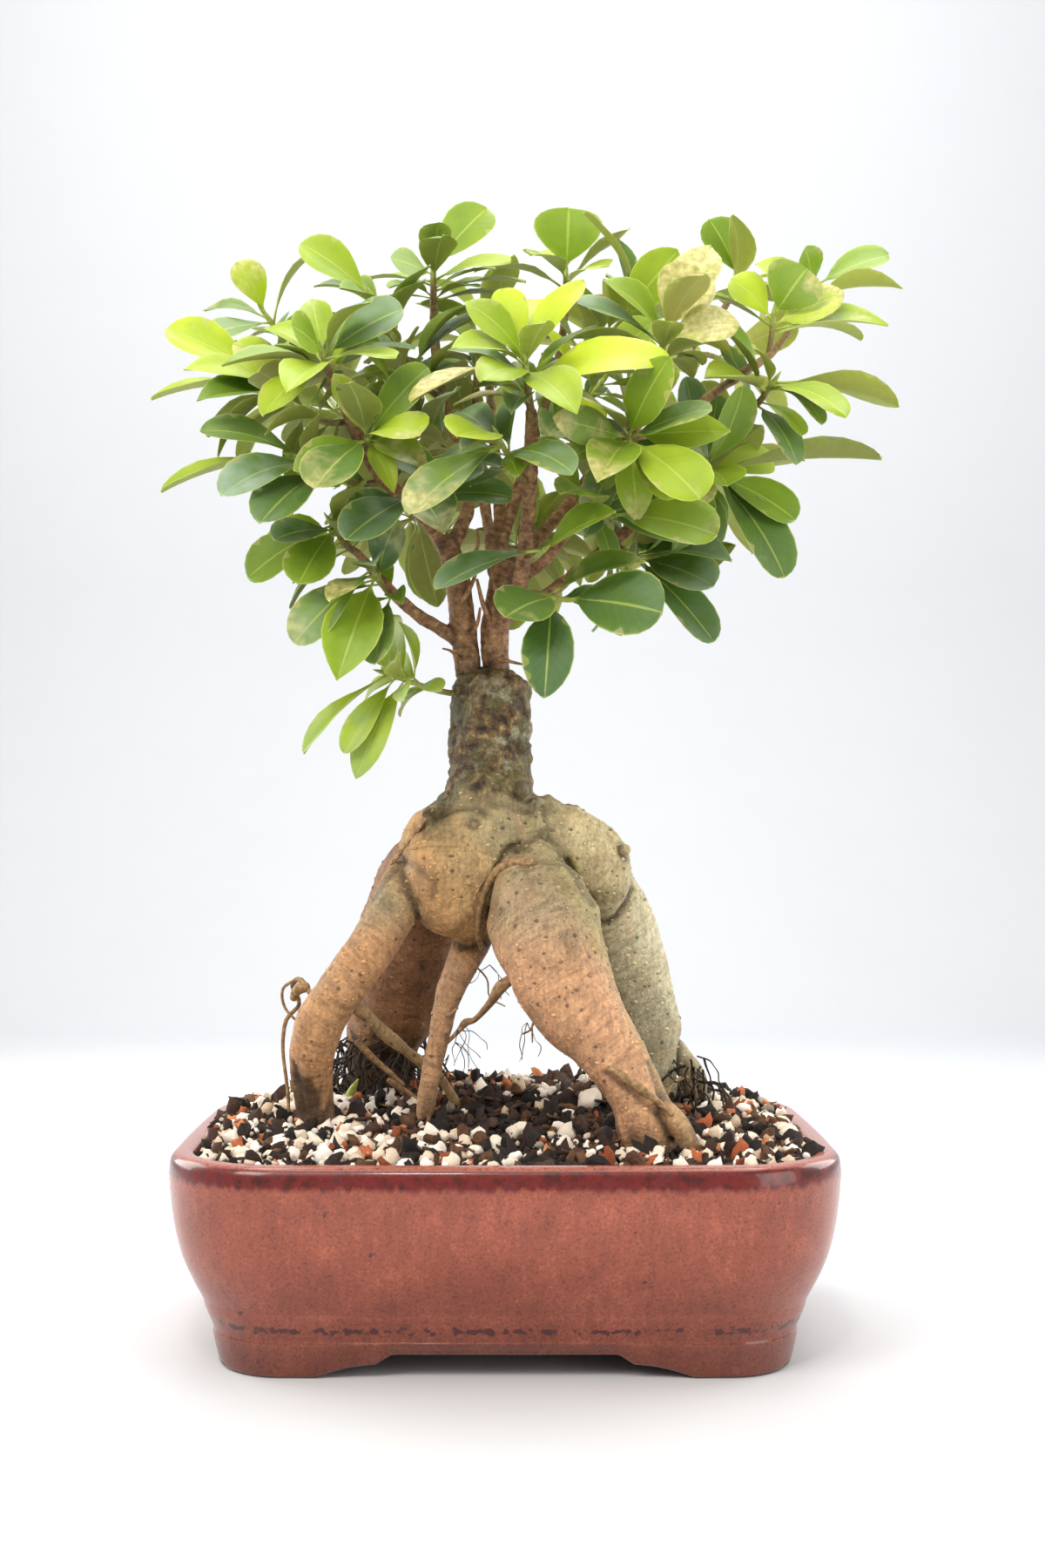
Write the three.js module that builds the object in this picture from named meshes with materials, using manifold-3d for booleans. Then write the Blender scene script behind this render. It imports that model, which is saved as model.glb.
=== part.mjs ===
// A ginseng fig grown as a small bonsai: a glazed oblong pot on four scalloped feet, gritty soil,
// a swollen rootstock standing on bare legs, two grafted scions and their leafy shoots.
// Millimetres, +Z up. While it is drawn, the middle of the pot's base is the origin, X runs along
// the pot's long side and Y away from its front. The last lines move the whole thing so that the
// origin is the middle of the bottom of its box.
import * as THREE from "three";
import Module from "manifold-3d";

const wasm = await Module();
wasm.setup();

// Driving sizes
const POT_WIDTH = 203;
const POT_DEPTH = 156;
const POT_HEIGHT = 64;
const POT_CORNER = 33;
const SIDE_BOW = 2;
const FOOT_RISE = 6.8;
const UNDERSIDE = 8.2;
const FLOOR = 13.5;
const DRAIN_RADIUS = 7;
const DRAIN_X = 40;
const SOIL_EDGE = 62.2;
const SOIL_MOUND = 10.5;
const SEAT_GAP = 0.3;
const LEAF_THICKNESS = 0.7;
const GOLDEN_ANGLE = 137.5;

// Small helpers
const vec = (p) => new THREE.Vector3(p[0], p[1], p[2]);
const radians = THREE.MathUtils.degToRad;

// A seeded draw of numbers from 0 to 1.
function dice(seed) {
  let state = seed;
  return () => {
    state = (state * 16807) % 2147483647;
    return state / 2147483647;
  };
}

// A closed solid from points and triangles, turned to face out.
function solid(points, faces) {
  let volume = 0;
  for (const [a, b, c] of faces) {
    volume += points[a].dot(points[b].clone().cross(points[c]));
  }
  const turned = volume < 0 ? faces.map(([a, b, c]) => [a, c, b]) : faces;
  return new wasm.Manifold(
    new wasm.Mesh({
      numProp: 3,
      vertProperties: new Float32Array(points.flatMap((p) => p.toArray())),
      triVerts: new Uint32Array(turned.flat()),
    }),
  );
}

// A solid once points at the same place are one vertex, and faces that this closes up are gone.
function welded(points, faces) {
  const found = new Map();
  const kept = [];
  const ids = points.map((point) => {
    const key = point.toArray().map((v) => Math.round(v * 1000)).join();
    if (!found.has(key)) found.set(key, kept.push(point) - 1);
    return found.get(key);
  });
  const open = faces.map((face) => face.map((i) => ids[i]));
  return solid(kept, open.filter((face) => new Set(face).size === 3));
}

function solidOf(geometry) {
  const place = geometry.getAttribute("position");
  const points = [];
  for (let i = 0; i < place.count; i++) {
    points.push(new THREE.Vector3().fromBufferAttribute(place, i));
  }
  const corners = geometry.index ? [...geometry.index.array] : points.map((_, i) => i);
  const faces = [];
  for (let i = 0; i < corners.length; i += 3) {
    faces.push(corners.slice(i, i + 3));
  }
  return welded(points, faces);
}

// A closed skin over rings that all have the same number of points, with a point at each end.
function skin(rings, start, end) {
  const n = rings[0].length;
  const points = [...rings.flat(), start, end];
  const faces = [];
  for (let i = 0; i < n; i++) {
    const next = (i + 1) % n;
    for (let k = 0; k + 1 < rings.length; k++) {
      faces.push([k * n + i, k * n + next, (k + 1) * n + next]);
      faces.push([k * n + i, (k + 1) * n + next, (k + 1) * n + i]);
    }
    const last = (rings.length - 1) * n;
    faces.push([next, i, rings.length * n]);
    faces.push([last + i, last + next, rings.length * n + 1]);
  }
  return solid(points, faces);
}

// A limb through stations of x, y, z and radius, with a blunt point at each end. `grow` makes it
// that much fatter, and `point` is the length of the last point in radii.
const END_POINT = 0.6;

function limb(stations, sides, grow = 0, point = END_POINT) {
  const spots = stations.map(vec);
  const rings = [];
  let across = new THREE.Vector3(0, 1, 0);
  let first = null;
  let last = null;
  spots.forEach((spot, i) => {
    const before = spots[Math.max(i - 1, 0)];
    const after = spots[Math.min(i + 1, spots.length - 1)];
    const along = after.clone().sub(before).normalize();
    if (i === 0 && Math.abs(along.y) > 0.9) across.set(1, 0, 0);
    across = across.clone().addScaledVector(along, -across.dot(along)).normalize();
    const up = along.clone().cross(across);
    const radius = stations[i][3] + grow;
    const round = [];
    for (let k = 0; k < sides; k++) {
      const angle = (2 * Math.PI * k) / sides;
      const corner = spot.clone().addScaledVector(across, radius * Math.cos(angle));
      round.push(corner.addScaledVector(up, radius * Math.sin(angle)));
    }
    rings.push(round);
    if (i === 0) first = spot.clone().addScaledVector(along, -END_POINT * radius);
    last = spot.clone().addScaledVector(along, point * radius);
  });
  return skin(rings, first, last);
}

const join = (solids) => solids.reduce((sum, next) => sum.add(next));

// The largest body of a solid, without scraps that a cut left loose.
function largest(whole) {
  return whole.decompose().sort((a, b) => b.volume() - a.volume())[0];
}

// The pot
// Its outline is an oblong with round corners and sides that bow out a little. `inset` draws it
// that far inside the rim, and `lift` says how far a point of the outline stands from the foot.
const CORNER_X = POT_WIDTH / 2 - SIDE_BOW - POT_CORNER;
const CORNER_Y = POT_DEPTH / 2 - SIDE_BOW - POT_CORNER;
const FOOT_LENGTH = 11;
const SCALLOP_RUN = 20;
const LONG_HALF = [CORNER_X, CORNER_X - FOOT_LENGTH, 46, 36];
const LONG_STOPS = [...LONG_HALF, 0, ...LONG_HALF.map((x) => -x).reverse()];
const SHORT_HALF = [CORNER_Y, CORNER_Y - FOOT_LENGTH, 14];
const SHORT_STOPS = [...SHORT_HALF, ...SHORT_HALF.map((y) => -y).reverse()];
const CORNER_STEPS = 4;

// How far the scallop has risen at a place along a side that ends at `end`, from 0 to 1.
function liftPast(end, at) {
  const share = (end - Math.abs(at) - FOOT_LENGTH) / SCALLOP_RUN;
  return Math.sin((Math.PI / 2) * THREE.MathUtils.clamp(share, 0, 1));
}

function outline(longStops, shortStops) {
  const spots = [];
  const corner = (sx, sy, from) => {
    for (let k = 1; k < CORNER_STEPS; k++) {
      const angle = from + (k / CORNER_STEPS) * (Math.PI / 2);
      const facing = { nx: Math.cos(angle), ny: Math.sin(angle) };
      spots.push({ x: sx * CORNER_X, y: sy * CORNER_Y, ...facing, lift: 0 });
    }
  };
  const side = (stops, isLong, sign) => {
    for (const stop of stops) {
      const x = isLong ? -sign * stop : sign * CORNER_X;
      const y = isLong ? -sign * CORNER_Y : -sign * stop;
      const lift = liftPast(isLong ? CORNER_X : CORNER_Y, stop);
      spots.push({ x, y, nx: isLong ? 0 : sign, ny: isLong ? -sign : 0, lift });
    }
  };
  side(longStops, true, 1);
  corner(1, -1, -Math.PI / 2);
  side(shortStops, false, 1);
  corner(1, 1, 0);
  side(longStops, true, -1);
  corner(-1, 1, Math.PI / 2);
  side(shortStops, false, -1);
  corner(-1, -1, Math.PI);
  return spots;
}

function ring(spots, inset, z, liftShare = 0) {
  const reach = POT_CORNER - inset;
  return spots.map((spot) => {
    const x = spot.x + reach * spot.nx;
    const y = spot.y + reach * spot.ny;
    const bowX = SIDE_BOW * (1 - (y / (POT_DEPTH / 2)) ** 2) * spot.nx * spot.nx;
    const bowY = SIDE_BOW * (1 - (x / (POT_WIDTH / 2)) ** 2) * spot.ny * spot.ny;
    const rise = liftShare * FOOT_RISE * spot.lift;
    return new THREE.Vector3(x + Math.sign(x) * bowX, y + Math.sign(y) * bowY, z + rise);
  });
}

// Inset and height round the wall, from the floor inside, over the lip and down to the feet.
const INNER_WALL = [
  [21.5, FLOOR],
  [18, 18],
  [10.5, 40],
  [8.6, 58],
];
const LIP = [
  [8, 62.8],
  [4.4, POT_HEIGHT],
  [0.5, 62],
];
const OUTER_WALL = [
  [0, 55],
  [1.3, 43],
  [3.8, 33],
  [7.4, 25],
  [11.4, 16],
  [12.6, 12],
  [14.2, 9.6],
];
// The apron round the base, whose lower edge rises between the feet.
const APRON = [
  [14.9, 1.6],
  [17, 0],
  [24, 0],
];
const UNDERSIDE_INSET = 25.5;
const DRILL_LENGTH = 30;
const DRILL_SIDES = 16;

function makePot() {
  const spots = outline(LONG_STOPS, SHORT_STOPS);
  const rings = [...INNER_WALL, ...LIP, ...OUTER_WALL].map(([inset, z]) => ring(spots, inset, z));
  for (const [inset, z] of APRON) rings.push(ring(spots, inset, z, 1));
  rings.push(ring(spots, UNDERSIDE_INSET, UNDERSIDE));
  const pot = skin(rings, new THREE.Vector3(0, 0, FLOOR), new THREE.Vector3(0, 0, UNDERSIDE));
  const holes = [-DRAIN_X, DRAIN_X].map((x) => {
    const drill = new THREE.CylinderGeometry(DRAIN_RADIUS, DRAIN_RADIUS, DRILL_LENGTH, DRILL_SIDES);
    drill.rotateX(Math.PI / 2);
    drill.translate(x, 0, (FLOOR + UNDERSIDE) / 2);
    return solidOf(drill);
  });
  return pot.subtract(join(holes));
}

// A square of plastic mesh that lies over a drain hole and keeps the soil in.
const SCREEN_SIZE = 24;
const SCREEN_THICKNESS = 1;
const SCREEN_HOLE = 5;
const SCREEN_PITCH = 4;

function block(x, y, low, width, depth, height) {
  const body = new THREE.BoxGeometry(width, depth, height);
  body.translate(x, y, low + height / 2);
  return solidOf(body);
}

function makeScreen(x) {
  let screen = block(x, 0, FLOOR + SEAT_GAP, SCREEN_SIZE, SCREEN_SIZE, SCREEN_THICKNESS);
  for (const i of [-1, 1]) {
    for (const k of [-1, 1]) {
      const spot = [x + i * SCREEN_PITCH, k * SCREEN_PITCH];
      const hole = block(...spot, FLOOR, SCREEN_HOLE, SCREEN_HOLE, 4 * SCREEN_THICKNESS);
      screen = screen.subtract(hole);
    }
  }
  return screen;
}

// The rootstock
// Each limb is a list of x, y, z and radius, from where it leaves the body to its end in the soil.
const ROOTS = {
  trunk: [
    [-6, 2, 146, 14], [-6, 2, 156, 19], [-5.5, 3, 165, 17.6], [-5, 4, 173.5, 14.4], [-5, 4, 182, 12.8],
    [-5, 4, 192, 12.6], [-4.5, 4, 202, 12.6], [-4.5, 4, 207.5, 11.8], [-4.5, 4, 210, 8.5],
  ],
  belly: [
    [-14, 0, 163, 10], [-19, -5, 154.5, 14.5], [-18.5, -8, 144.5, 16.4], [-16, -9, 136, 13.2],
    [-12, -7, 129, 7],
  ],
  chest: [
    [-6, 0, 172, 12], [-7, -3, 164, 14], [-9, -6, 156, 15], [-11, -8.5, 148, 13.5], [-12, -9, 141, 10],
  ],
  leftFront: [
    [-22, -4, 152, 7], [-30, -9, 144, 8], [-36, -14, 133, 7.8], [-43, -18, 121.5, 7.6],
    [-51.5, -19, 110, 7.4], [-58.5, -17, 98.5, 7.6], [-61, -13, 88, 7], [-61, -9, 78, 6.3],
    [-60, -7, 68, 6.2], [-59, -6, 54, 5],
  ],
  leftRear: [
    [-22, 8, 154, 10], [-28, 16, 144, 13.5], [-31, 24, 130, 17], [-34, 30, 115, 17.6], [-38, 35, 100, 16.2],
    [-42, 40, 88, 13], [-43, 41, 79, 11.4], [-43, 42, 69, 11.6], [-43, 42, 54, 9],
  ],
  web: [[-4, 0, 146, 8], [-4, -1, 136, 7], [-5, -2, 127, 5]],
  neck: [[8, -1, 164, 8], [10.5, -6, 158, 7.4], [11.5, -12, 151, 7.6], [11, -17, 144, 8]],
  rightFront: [
    [8, -8, 150, 6], [9, -14, 143.5, 13], [11.5, -20, 133, 17.2], [15.5, -26, 120.5, 16.4],
    [21, -30, 107.5, 14], [29, -33, 96, 11.2], [35.5, -35, 87, 9.4], [40, -36, 78.5, 8.9],
    [43.5, -36, 69, 9.6], [46, -36, 55, 8],
  ],
  rightToe: [[44, -38, 78, 4], [50, -42, 73, 3.8], [54, -45, 68, 3.2], [57, -47, 58, 2.4]],
  rightShoulder: [
    [4, 2, 163, 10], [15, 2, 157.5, 12], [26, 3, 150.5, 13], [31, 4, 143, 11], [31, 5, 137, 7],
  ],
  rightRear: [
    [24, 10, 152, 9], [32.5, 15, 138, 12], [39.5, 19, 122, 12.4], [45, 21, 106, 11.4], [49, 22, 92, 9.8],
    [51, 22, 82, 7], [52, 22, 71, 5.4], [52.5, 22, 56, 4.4],
  ],
  rightFoot: [
    [51, 23, 92, 5], [58, 25, 84, 4.2], [63, 26, 77, 4.2], [64.5, 26, 69, 3.8], [65.5, 26, 56, 3],
  ],
  middle: [
    [-8, 2, 129, 7], [-12.5, -2, 120, 5.6], [-17.5, -6, 108, 4.6], [-21, -8, 94, 3.9], [-24, -8, 81.5, 3.4],
    [-25.5, -8, 68, 3.1], [-26, -8, 56, 2.6],
  ],
  cross: [
    [-52, -17, 111, 3.4], [-44, -8, 100, 2.3], [-33, 0, 89, 2], [-22, 5, 79.5, 2], [-15, 7, 68, 1.9],
    [-12, 8, 57, 1.6],
  ],
  knot: [[1, -4, 174, 4], [4.5, -11, 174.5, 3.6], [5.5, -13.5, 174.5, 2.4]],
  shoulderKnob: [[33, 0, 151.5, 3], [38, -2, 153.2, 2], [39.5, -3, 153.6, 1.6]],
};
const THICK_ROOT = 6.5;
const THICK_ROOT_SIDES = 10;
const THIN_ROOT_SIDES = 6;
const TRUNK_POINT = 0.1;

function rootLimbs(grow) {
  return Object.entries(ROOTS).map(([name, stations]) => {
    const thick = stations.some((s) => s[3] > THICK_ROOT);
    const sides = thick ? THICK_ROOT_SIDES : THIN_ROOT_SIDES;
    return limb(stations, sides, grow, name === "trunk" ? TRUNK_POINT : END_POINT);
  });
}

// The soil
// Its top is a mound that is highest behind the roots, with grit and lumps of pumice set in it.
const SOIL_LONG_STOPS = [CORNER_X, 37, 0, -37, -CORNER_X];
const SOIL_SHORT_STOPS = [CORNER_Y, 0, -CORNER_Y];
const SOIL_RINGS = [1, 0.86, 0.68, 0.48, 0.26];
const SOIL_INSET = 8.6;
const SOIL_DROP = 0.8;
const SOIL_ROUGHNESS = 1.2;
const PEBBLES = 26;
const PEBBLE_MARGIN = 17;
const PEBBLE_SEED = 4127;

function soilHeight(x, y) {
  const across = Math.exp(-((Math.abs(x) / 80) ** 3));
  const behind = Math.exp(-(((y - 36) / 52) ** 2));
  return SOIL_EDGE + SOIL_MOUND * across * behind;
}

function makeSoil() {
  const spots = outline(SOIL_LONG_STOPS, SOIL_SHORT_STOPS);
  const draw = dice(PEBBLE_SEED);
  const rings = INNER_WALL.map(([inset, z]) => {
    return ring(spots, inset + SEAT_GAP, Math.max(z, FLOOR + SEAT_GAP));
  });
  const edge = ring(spots, SOIL_INSET, 0);
  for (const share of SOIL_RINGS) {
    const level = edge.map((p) => {
      const x = p.x * share;
      const y = p.y * share;
      const rough = share === 1 ? -SOIL_DROP : SOIL_ROUGHNESS * (draw() - 0.5);
      return new THREE.Vector3(x, y, soilHeight(x, y) + rough);
    });
    rings.push(level);
  }
  const bottom = new THREE.Vector3(0, 0, FLOOR + SEAT_GAP);
  let soil = skin(rings, bottom, new THREE.Vector3(0, 0, soilHeight(0, 0)));
  for (const pebble of makePebbles(draw)) soil = soil.add(pebble);
  for (const x of [-DRAIN_X, DRAIN_X]) {
    const room = SCREEN_SIZE + 2 * SEAT_GAP;
    soil = soil.subtract(block(x, 0, FLOOR, room, room, SCREEN_THICKNESS + 2 * SEAT_GAP));
  }
  return largest(soil.subtract(join(rootLimbs(SEAT_GAP))));
}

// Lumps are placed at random, more of them towards the front left, and clear of the roots.
function makePebbles(draw) {
  const pebbles = [];
  const rootSpots = Object.values(ROOTS).flatMap((s) => s.filter((spot) => spot[2] < 92));
  const placed = [];
  while (pebbles.length < PEBBLES) {
    const x = (draw() * 2 - 1) * (POT_WIDTH / 2 - PEBBLE_MARGIN);
    const y = (draw() * 2 - 1) * (POT_DEPTH / 2 - PEBBLE_MARGIN);
    const radius = 2.3 + 2.2 * draw() * draw();
    const wanted = draw() < 0.45 + 0.25 * (-x / 90) + 0.3 * (-y / 65);
    const turn = new THREE.Euler(draw() * 3, draw() * 3, draw() * 3);
    const stretch = [1 + 0.3 * draw(), 0.85 + 0.2 * draw(), 0.75];
    const past = [Math.max(Math.abs(x) - CORNER_X, 0), Math.max(Math.abs(y) - CORNER_Y, 0)];
    const inCorner = Math.hypot(...past) > POT_CORNER - PEBBLE_MARGIN + 3;
    const nearRoot = rootSpots.some((s) => Math.hypot(s[0] - x, s[1] - y) < s[3] + radius * 1.4 + 2);
    const nearOther = placed.some((p) => Math.hypot(p[0] - x, p[1] - y) < p[2] + radius * 1.1);
    if (!wanted || inCorner || nearRoot || nearOther) continue;
    placed.push([x, y, radius]);
    const lump = new THREE.OctahedronGeometry(radius * 1.15, 0);
    lump.scale(...stretch);
    lump.applyMatrix4(new THREE.Matrix4().makeRotationFromEuler(turn));
    lump.translate(x, y, soilHeight(x, y) + radius * 0.25);
    pebbles.push(solidOf(lump));
  }
  return pebbles;
}

// The scions
// Woody limbs of each graft, from the socket that it stands in at the top of the trunk outwards.
const SOCKET_BOTTOM = 203;
const LEFT_SCION = {
  leftStem: [
    [-10.8, 3.5, SOCKET_BOTTOM, 3.9], [-11.8, 3, 211, 4.1], [-13, 3, 220, 4.3], [-14, 2, 228, 4.3],
    [-15, 1, 237, 4.2], [-17, 0, 246.5, 4], [-19, -1, 252, 3.4],
  ],
  leftReach: [
    [-17, 0, 248, 3.2], [-22, -2, 256, 2.8], [-28, -5, 262, 2.5], [-34, -9, 267, 2.4], [-41, -14, 274, 2.3],
    [-46, -19, 283, 2.1], [-50, -23, 292, 1.9], [-54, -26, 300, 1.6],
  ],
  leftUp: [
    [-18, 0, 250, 3], [-14, 4, 259, 2.4], [-12, 8, 267, 2.1], [-14, 13, 283, 2], [-20, 18, 301, 1.8],
    [-23, 22, 318, 1.7], [-24, 23, 336, 1.4],
  ],
  leftLow: [
    [-14, 3, 221, 2.8], [-21, 1, 225, 2.3], [-28, -1, 229, 2.1], [-34, -4, 234, 1.9], [-40, -6, 240, 1.7],
    [-47, -9, 248, 1.4],
  ],
  leftBack: [
    [-15, 1, 240, 3], [-20, 12, 252, 2.3], [-30, 28, 270, 2.2], [-46, 38, 294, 2], [-62, 38, 314, 1.8],
    [-72, 33, 325, 1.4],
  ],
};
const RIGHT_SCION = {
  rightStem: [
    [-1.6, 3.5, SOCKET_BOTTOM, 4], [-2.6, 3, 211, 4.3], [-3.4, 3, 220, 4.5], [-3, 2, 228, 4.4],
    [-2, 2, 234, 4.3], [-1, 1, 240, 4.2], [0, 0, 245, 3.6],
  ],
  front: [
    [-1, 1, 229.5, 3], [3.5, -8, 233, 2.6], [5, -14, 240, 2.5], [6.5, -18, 251, 2.4], [7.5, -23, 263.5, 2.3],
    [8, -28, 276, 2.2], [8, -33, 288, 1.9],
  ],
  rightReach: [
    [0, 1, 240, 3], [10.5, -3, 245, 2.4], [19.5, -8, 255, 2.2], [28, -13, 267, 2.1], [36, -18, 279, 2],
    [44, -21, 291, 1.8], [48, -22, 304, 1.5],
  ],
  rightHigh: [
    [36, -18, 279, 1.9], [46, -15, 285, 1.7], [57, -10, 292, 1.6], [67, -4, 300, 1.6], [78, 4, 309, 1.5],
    [89, 12, 318, 1.4], [97, 20, 330, 1.2],
  ],
  rightLow: [
    [-1, 2, 229, 3], [10.5, 4, 234.5, 2.2], [23, 8, 244, 2], [34.5, 12, 254, 2], [46.5, 16, 264.5, 1.9],
    [60, 19, 279, 1.8], [72, 16, 290, 1.6], [81, 10, 299, 1.4],
  ],
  innerUp: [
    [-2, 2, 244, 2.8], [-1, 8, 253.5, 2.2], [1, 14, 262, 2.1], [5, 22, 275.5, 2], [11, 32, 297, 1.8],
    [18, 40, 320, 1.6], [21, 43, 340, 1.3],
  ],
  innerLeft: [
    [-3, 2, 243, 2.6], [-5, 8, 256, 2], [-7, 16, 270, 1.8], [-9, 22, 288, 1.6], [-10, 25, 306, 1.3],
  ],
  rightBack: [
    [-1, 2, 240, 3], [6, 12, 251, 2.4], [20, 28, 268, 2.2], [38, 44, 294, 2.1], [58, 52, 320, 1.9],
    [74, 52, 340, 1.4],
  ],
  midBack: [
    [-2, 3, 238, 2.8], [-2, 20, 252, 2.3], [-2, 38, 272, 2.1], [-4, 54, 298, 1.9], [-6, 62, 322, 1.5],
  ],
};
const STEM_SIDES = 8;
const BRANCH_SIDES = 5;

function woodLimbs(scion, grow) {
  return Object.entries(scion).map(([name, stations]) => {
    return limb(stations, name.endsWith("Stem") ? STEM_SIDES : BRANCH_SIDES, grow);
  });
}
const BRANCHES = { ...LEFT_SCION, ...RIGHT_SCION, trunk: ROOTS.trunk };

// The leafy shoots
// Each leaves its branch at a share of the branch's stations. `tip` is its bud. `aims` are the
// leaves that give the crown its outline: where the tip of each is, its width, and how far its
// face turns from the sky to the front. `leaves` more follow the golden angle from `turn` degrees.
const SHOOTS = [
  {
    name: "front_top", branch: "front", at: 1, tip: [6, -38, 304],
    leaves: 3, turn: 40, size: 34,
    aims: [
      [2, -36, 326, 11, 1.8], [24, -40, 326, 13, 0.8], [-12, -46, 318, 14, 0.8],
      [-16, -54, 302, 14, 0.9], [-28, -50, 287, 16, 0.3], [21, -62, 281, 16, 1.4],
      [-7, -64, 290, 14, 1.5], [49, -47, 301, 18, 1.3],
    ],
  },
  {
    name: "left_front", branch: "leftReach", at: 1, tip: [-56, -30, 306],
    leaves: 3, turn: 80, size: 36,
    aims: [
      [-64, -42, 314, 16, 1.8], [-31, -38, 318, 17.5, 1.5], [-32, -50, 305, 14, 0.6],
      [-72, -50, 283, 14, 0.4], [-64, -58, 288, 14, 0.8],
    ],
  },
  {
    name: "left_crown", branch: "leftUp", at: 1, tip: [-24, 20, 347],
    leaves: 4, turn: 10, size: 36,
    aims: [
      [-6, 22, 368, 18, 1.7], [-38, 14, 349, 16, 1.2], [2, 4, 345, 15, 0.8],
    ],
  },
  {
    name: "centre_crown", branch: "innerUp", at: 1, tip: [21, 42, 352],
    leaves: 4, turn: 60, size: 36,
    aims: [
      [22, 40, 374, 24, 2.4], [10, 24, 353, 14, 0.6], [35, 22, 349, 15, 0.9],
    ],
  },
  {
    name: "right_front", branch: "rightReach", at: 1, tip: [50, -20, 316],
    leaves: 2, turn: 20, size: 36,
    aims: [
      [60, -26, 334, 20, 2], [66, -8, 346, 16, 1.5], [71, -24, 323, 17.5, 1.5],
      [30, -30, 329, 16, 0.9], [22, -36, 320, 15, 0.8],
    ],
  },
  {
    name: "right_top", branch: "rightHigh", at: 0.8, tip: [88, 8, 328],
    leaves: 2, turn: 0, size: 34,
    aims: [
      [98, 2, 342, 22, 2.2], [74, 6, 340, 16.5, 1.2], [110, 2, 334, 17.5, 1.4], [124, 0, 323, 15, 0.8],
    ],
  },
  {
    name: "right_far", branch: "rightHigh", at: 1, tip: [105, 30, 344],
    leaves: 3, turn: 50, size: 32,
    aims: [
      [129, 24, 353, 16.5, 1], [100, 18, 354, 15, 1.2], [84, 24, 350, 16, 1],
    ],
  },
  {
    name: "right_back_top", branch: "rightBack", at: 1, tip: [82, 50, 352],
    leaves: 5, turn: 90, size: 34,
    aims: [
      [71, 46, 372, 16.5, 1.4],
    ],
  },
  {
    name: "right_outer", branch: "rightLow", at: 1, tip: [87, 2, 305],
    leaves: 2, turn: 130, size: 36,
    aims: [
      [126, -8, 295, 17.5, -0.3], [106, -26, 288, 15, 0.6], [62, -26, 300, 15, 0.9],
    ],
  },
  {
    name: "left_outer", branch: "leftReach", at: 0.78, tip: [-77, -5, 304],
    leaves: 3, turn: 15, size: 34,
    aims: [
      [-108, -8, 320, 16.5, 1.4], [-112, -14, 296, 13, 0.3], [-100, -24, 303, 15, 0.9],
      [-95, -30, 292, 15, 0.9], [-85, -20, 312, 15, 1.2],
    ],
  },
  {
    name: "left_high", branch: "leftBack", at: 1, tip: [-81, 28, 334],
    leaves: 4, turn: 150, size: 34,
    aims: [
      [-90, 22, 350, 15, 0.9], [-101, 18, 324, 15, 0.8],
    ],
  },
  {
    name: "left_side", branch: "leftReach", at: 0.5, tip: [-66, -16, 277],
    leaves: 2, turn: 200, size: 34,
    aims: [
      [-106, -30, 264, 12, 0.3], [-95, -24, 284, 15, 0.9], [-86, -40, 261, 15, 1.4],
      [-75, -46, 257, 16.5, 1.4],
    ],
  },
  {
    name: "left_mid_top", branch: "leftUp", at: 0.68, tip: [-43, 4, 333],
    leaves: 4, turn: 100, size: 36,
    aims: [
      [-66, -2, 349, 16.5, 1.4], [-52, -18, 330, 15, 1],
    ],
  },
  {
    name: "left_low", branch: "leftLow", at: 1, tip: [-55, -10, 257],
    leaves: 1, turn: 30, size: 34,
    aims: [
      [-82, -10, 240, 16.5, 1.4], [-64, -26, 236, 16.5, 1.4], [-72, -24, 250, 15, 0.9],
      [-78, 6, 268, 15, 1.2],
    ],
  },
  {
    name: "left_low_twig", branch: "leftLow", at: 0.6, tip: [-42, -16, 242],
    leaves: 0, turn: 0, size: 36,
    aims: [
      [-66, -22, 218, 16, 1.4], [-52, -28, 206, 19, 2], [-33, -26, 256, 16, 1.4],
    ],
  },
  {
    name: "right_mid", branch: "rightLow", at: 0.72, tip: [68, 8, 276],
    leaves: 2, turn: 90, size: 38,
    aims: [
      [94, 0, 260, 18, 1], [94, -6, 245, 17.5, 1], [122, 0, 280, 16.5, -0.2], [70, -18, 268, 16.5, 1.2],
    ],
  },
  {
    name: "right_low", branch: "rightLow", at: 0.42, tip: [44, 14, 249],
    leaves: 2, turn: 0, size: 38,
    aims: [
      [67, -6, 238, 18, 1.4], [72, -10, 256, 16.5, 0.9], [68, 4, 221, 15, 1.2],
    ],
  },
  {
    name: "right_low_front", branch: "front", at: 0.17, tip: [18, -20, 232],
    leaves: 0, turn: 180, size: 36,
    aims: [
      [48, -36, 226, 24, 2.6], [0, -42, 224, 19, 1.5], [12, -36, 200, 16.5, 2],
      [45, -28, 242, 16, 0.8],
    ],
  },
  {
    name: "front_low", branch: "front", at: 0.42, tip: [12, -30, 246],
    leaves: 0, turn: 0, size: 36,
    aims: [
      [-21, -44, 232, 14, 0.6], [30, -50, 255, 16, 1.2],
    ],
  },
  {
    name: "left_centre", branch: "leftReach", at: 0.66, tip: [-42, -34, 279],
    leaves: 2, turn: 60, size: 34,
    aims: [
      [-56, -58, 260, 17.5, 1.2], [-25, -56, 276, 17.5, 1.2], [-46, -54, 292, 15, 0.9],
    ],
  },
  {
    name: "left_centre_low", branch: "leftReach", at: 0.34, tip: [-27, -24, 264],
    leaves: 1, turn: 0, size: 36,
    aims: [
      [-48, -44, 247, 16.5, 1.4], [-18, -50, 248, 16.5, 1.5], [-14, -48, 268, 17.5, 1.4],
    ],
  },
  {
    name: "front_mid", branch: "front", at: 0.72, tip: [-2, -38, 279],
    leaves: 1, turn: 100, size: 34,
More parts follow.
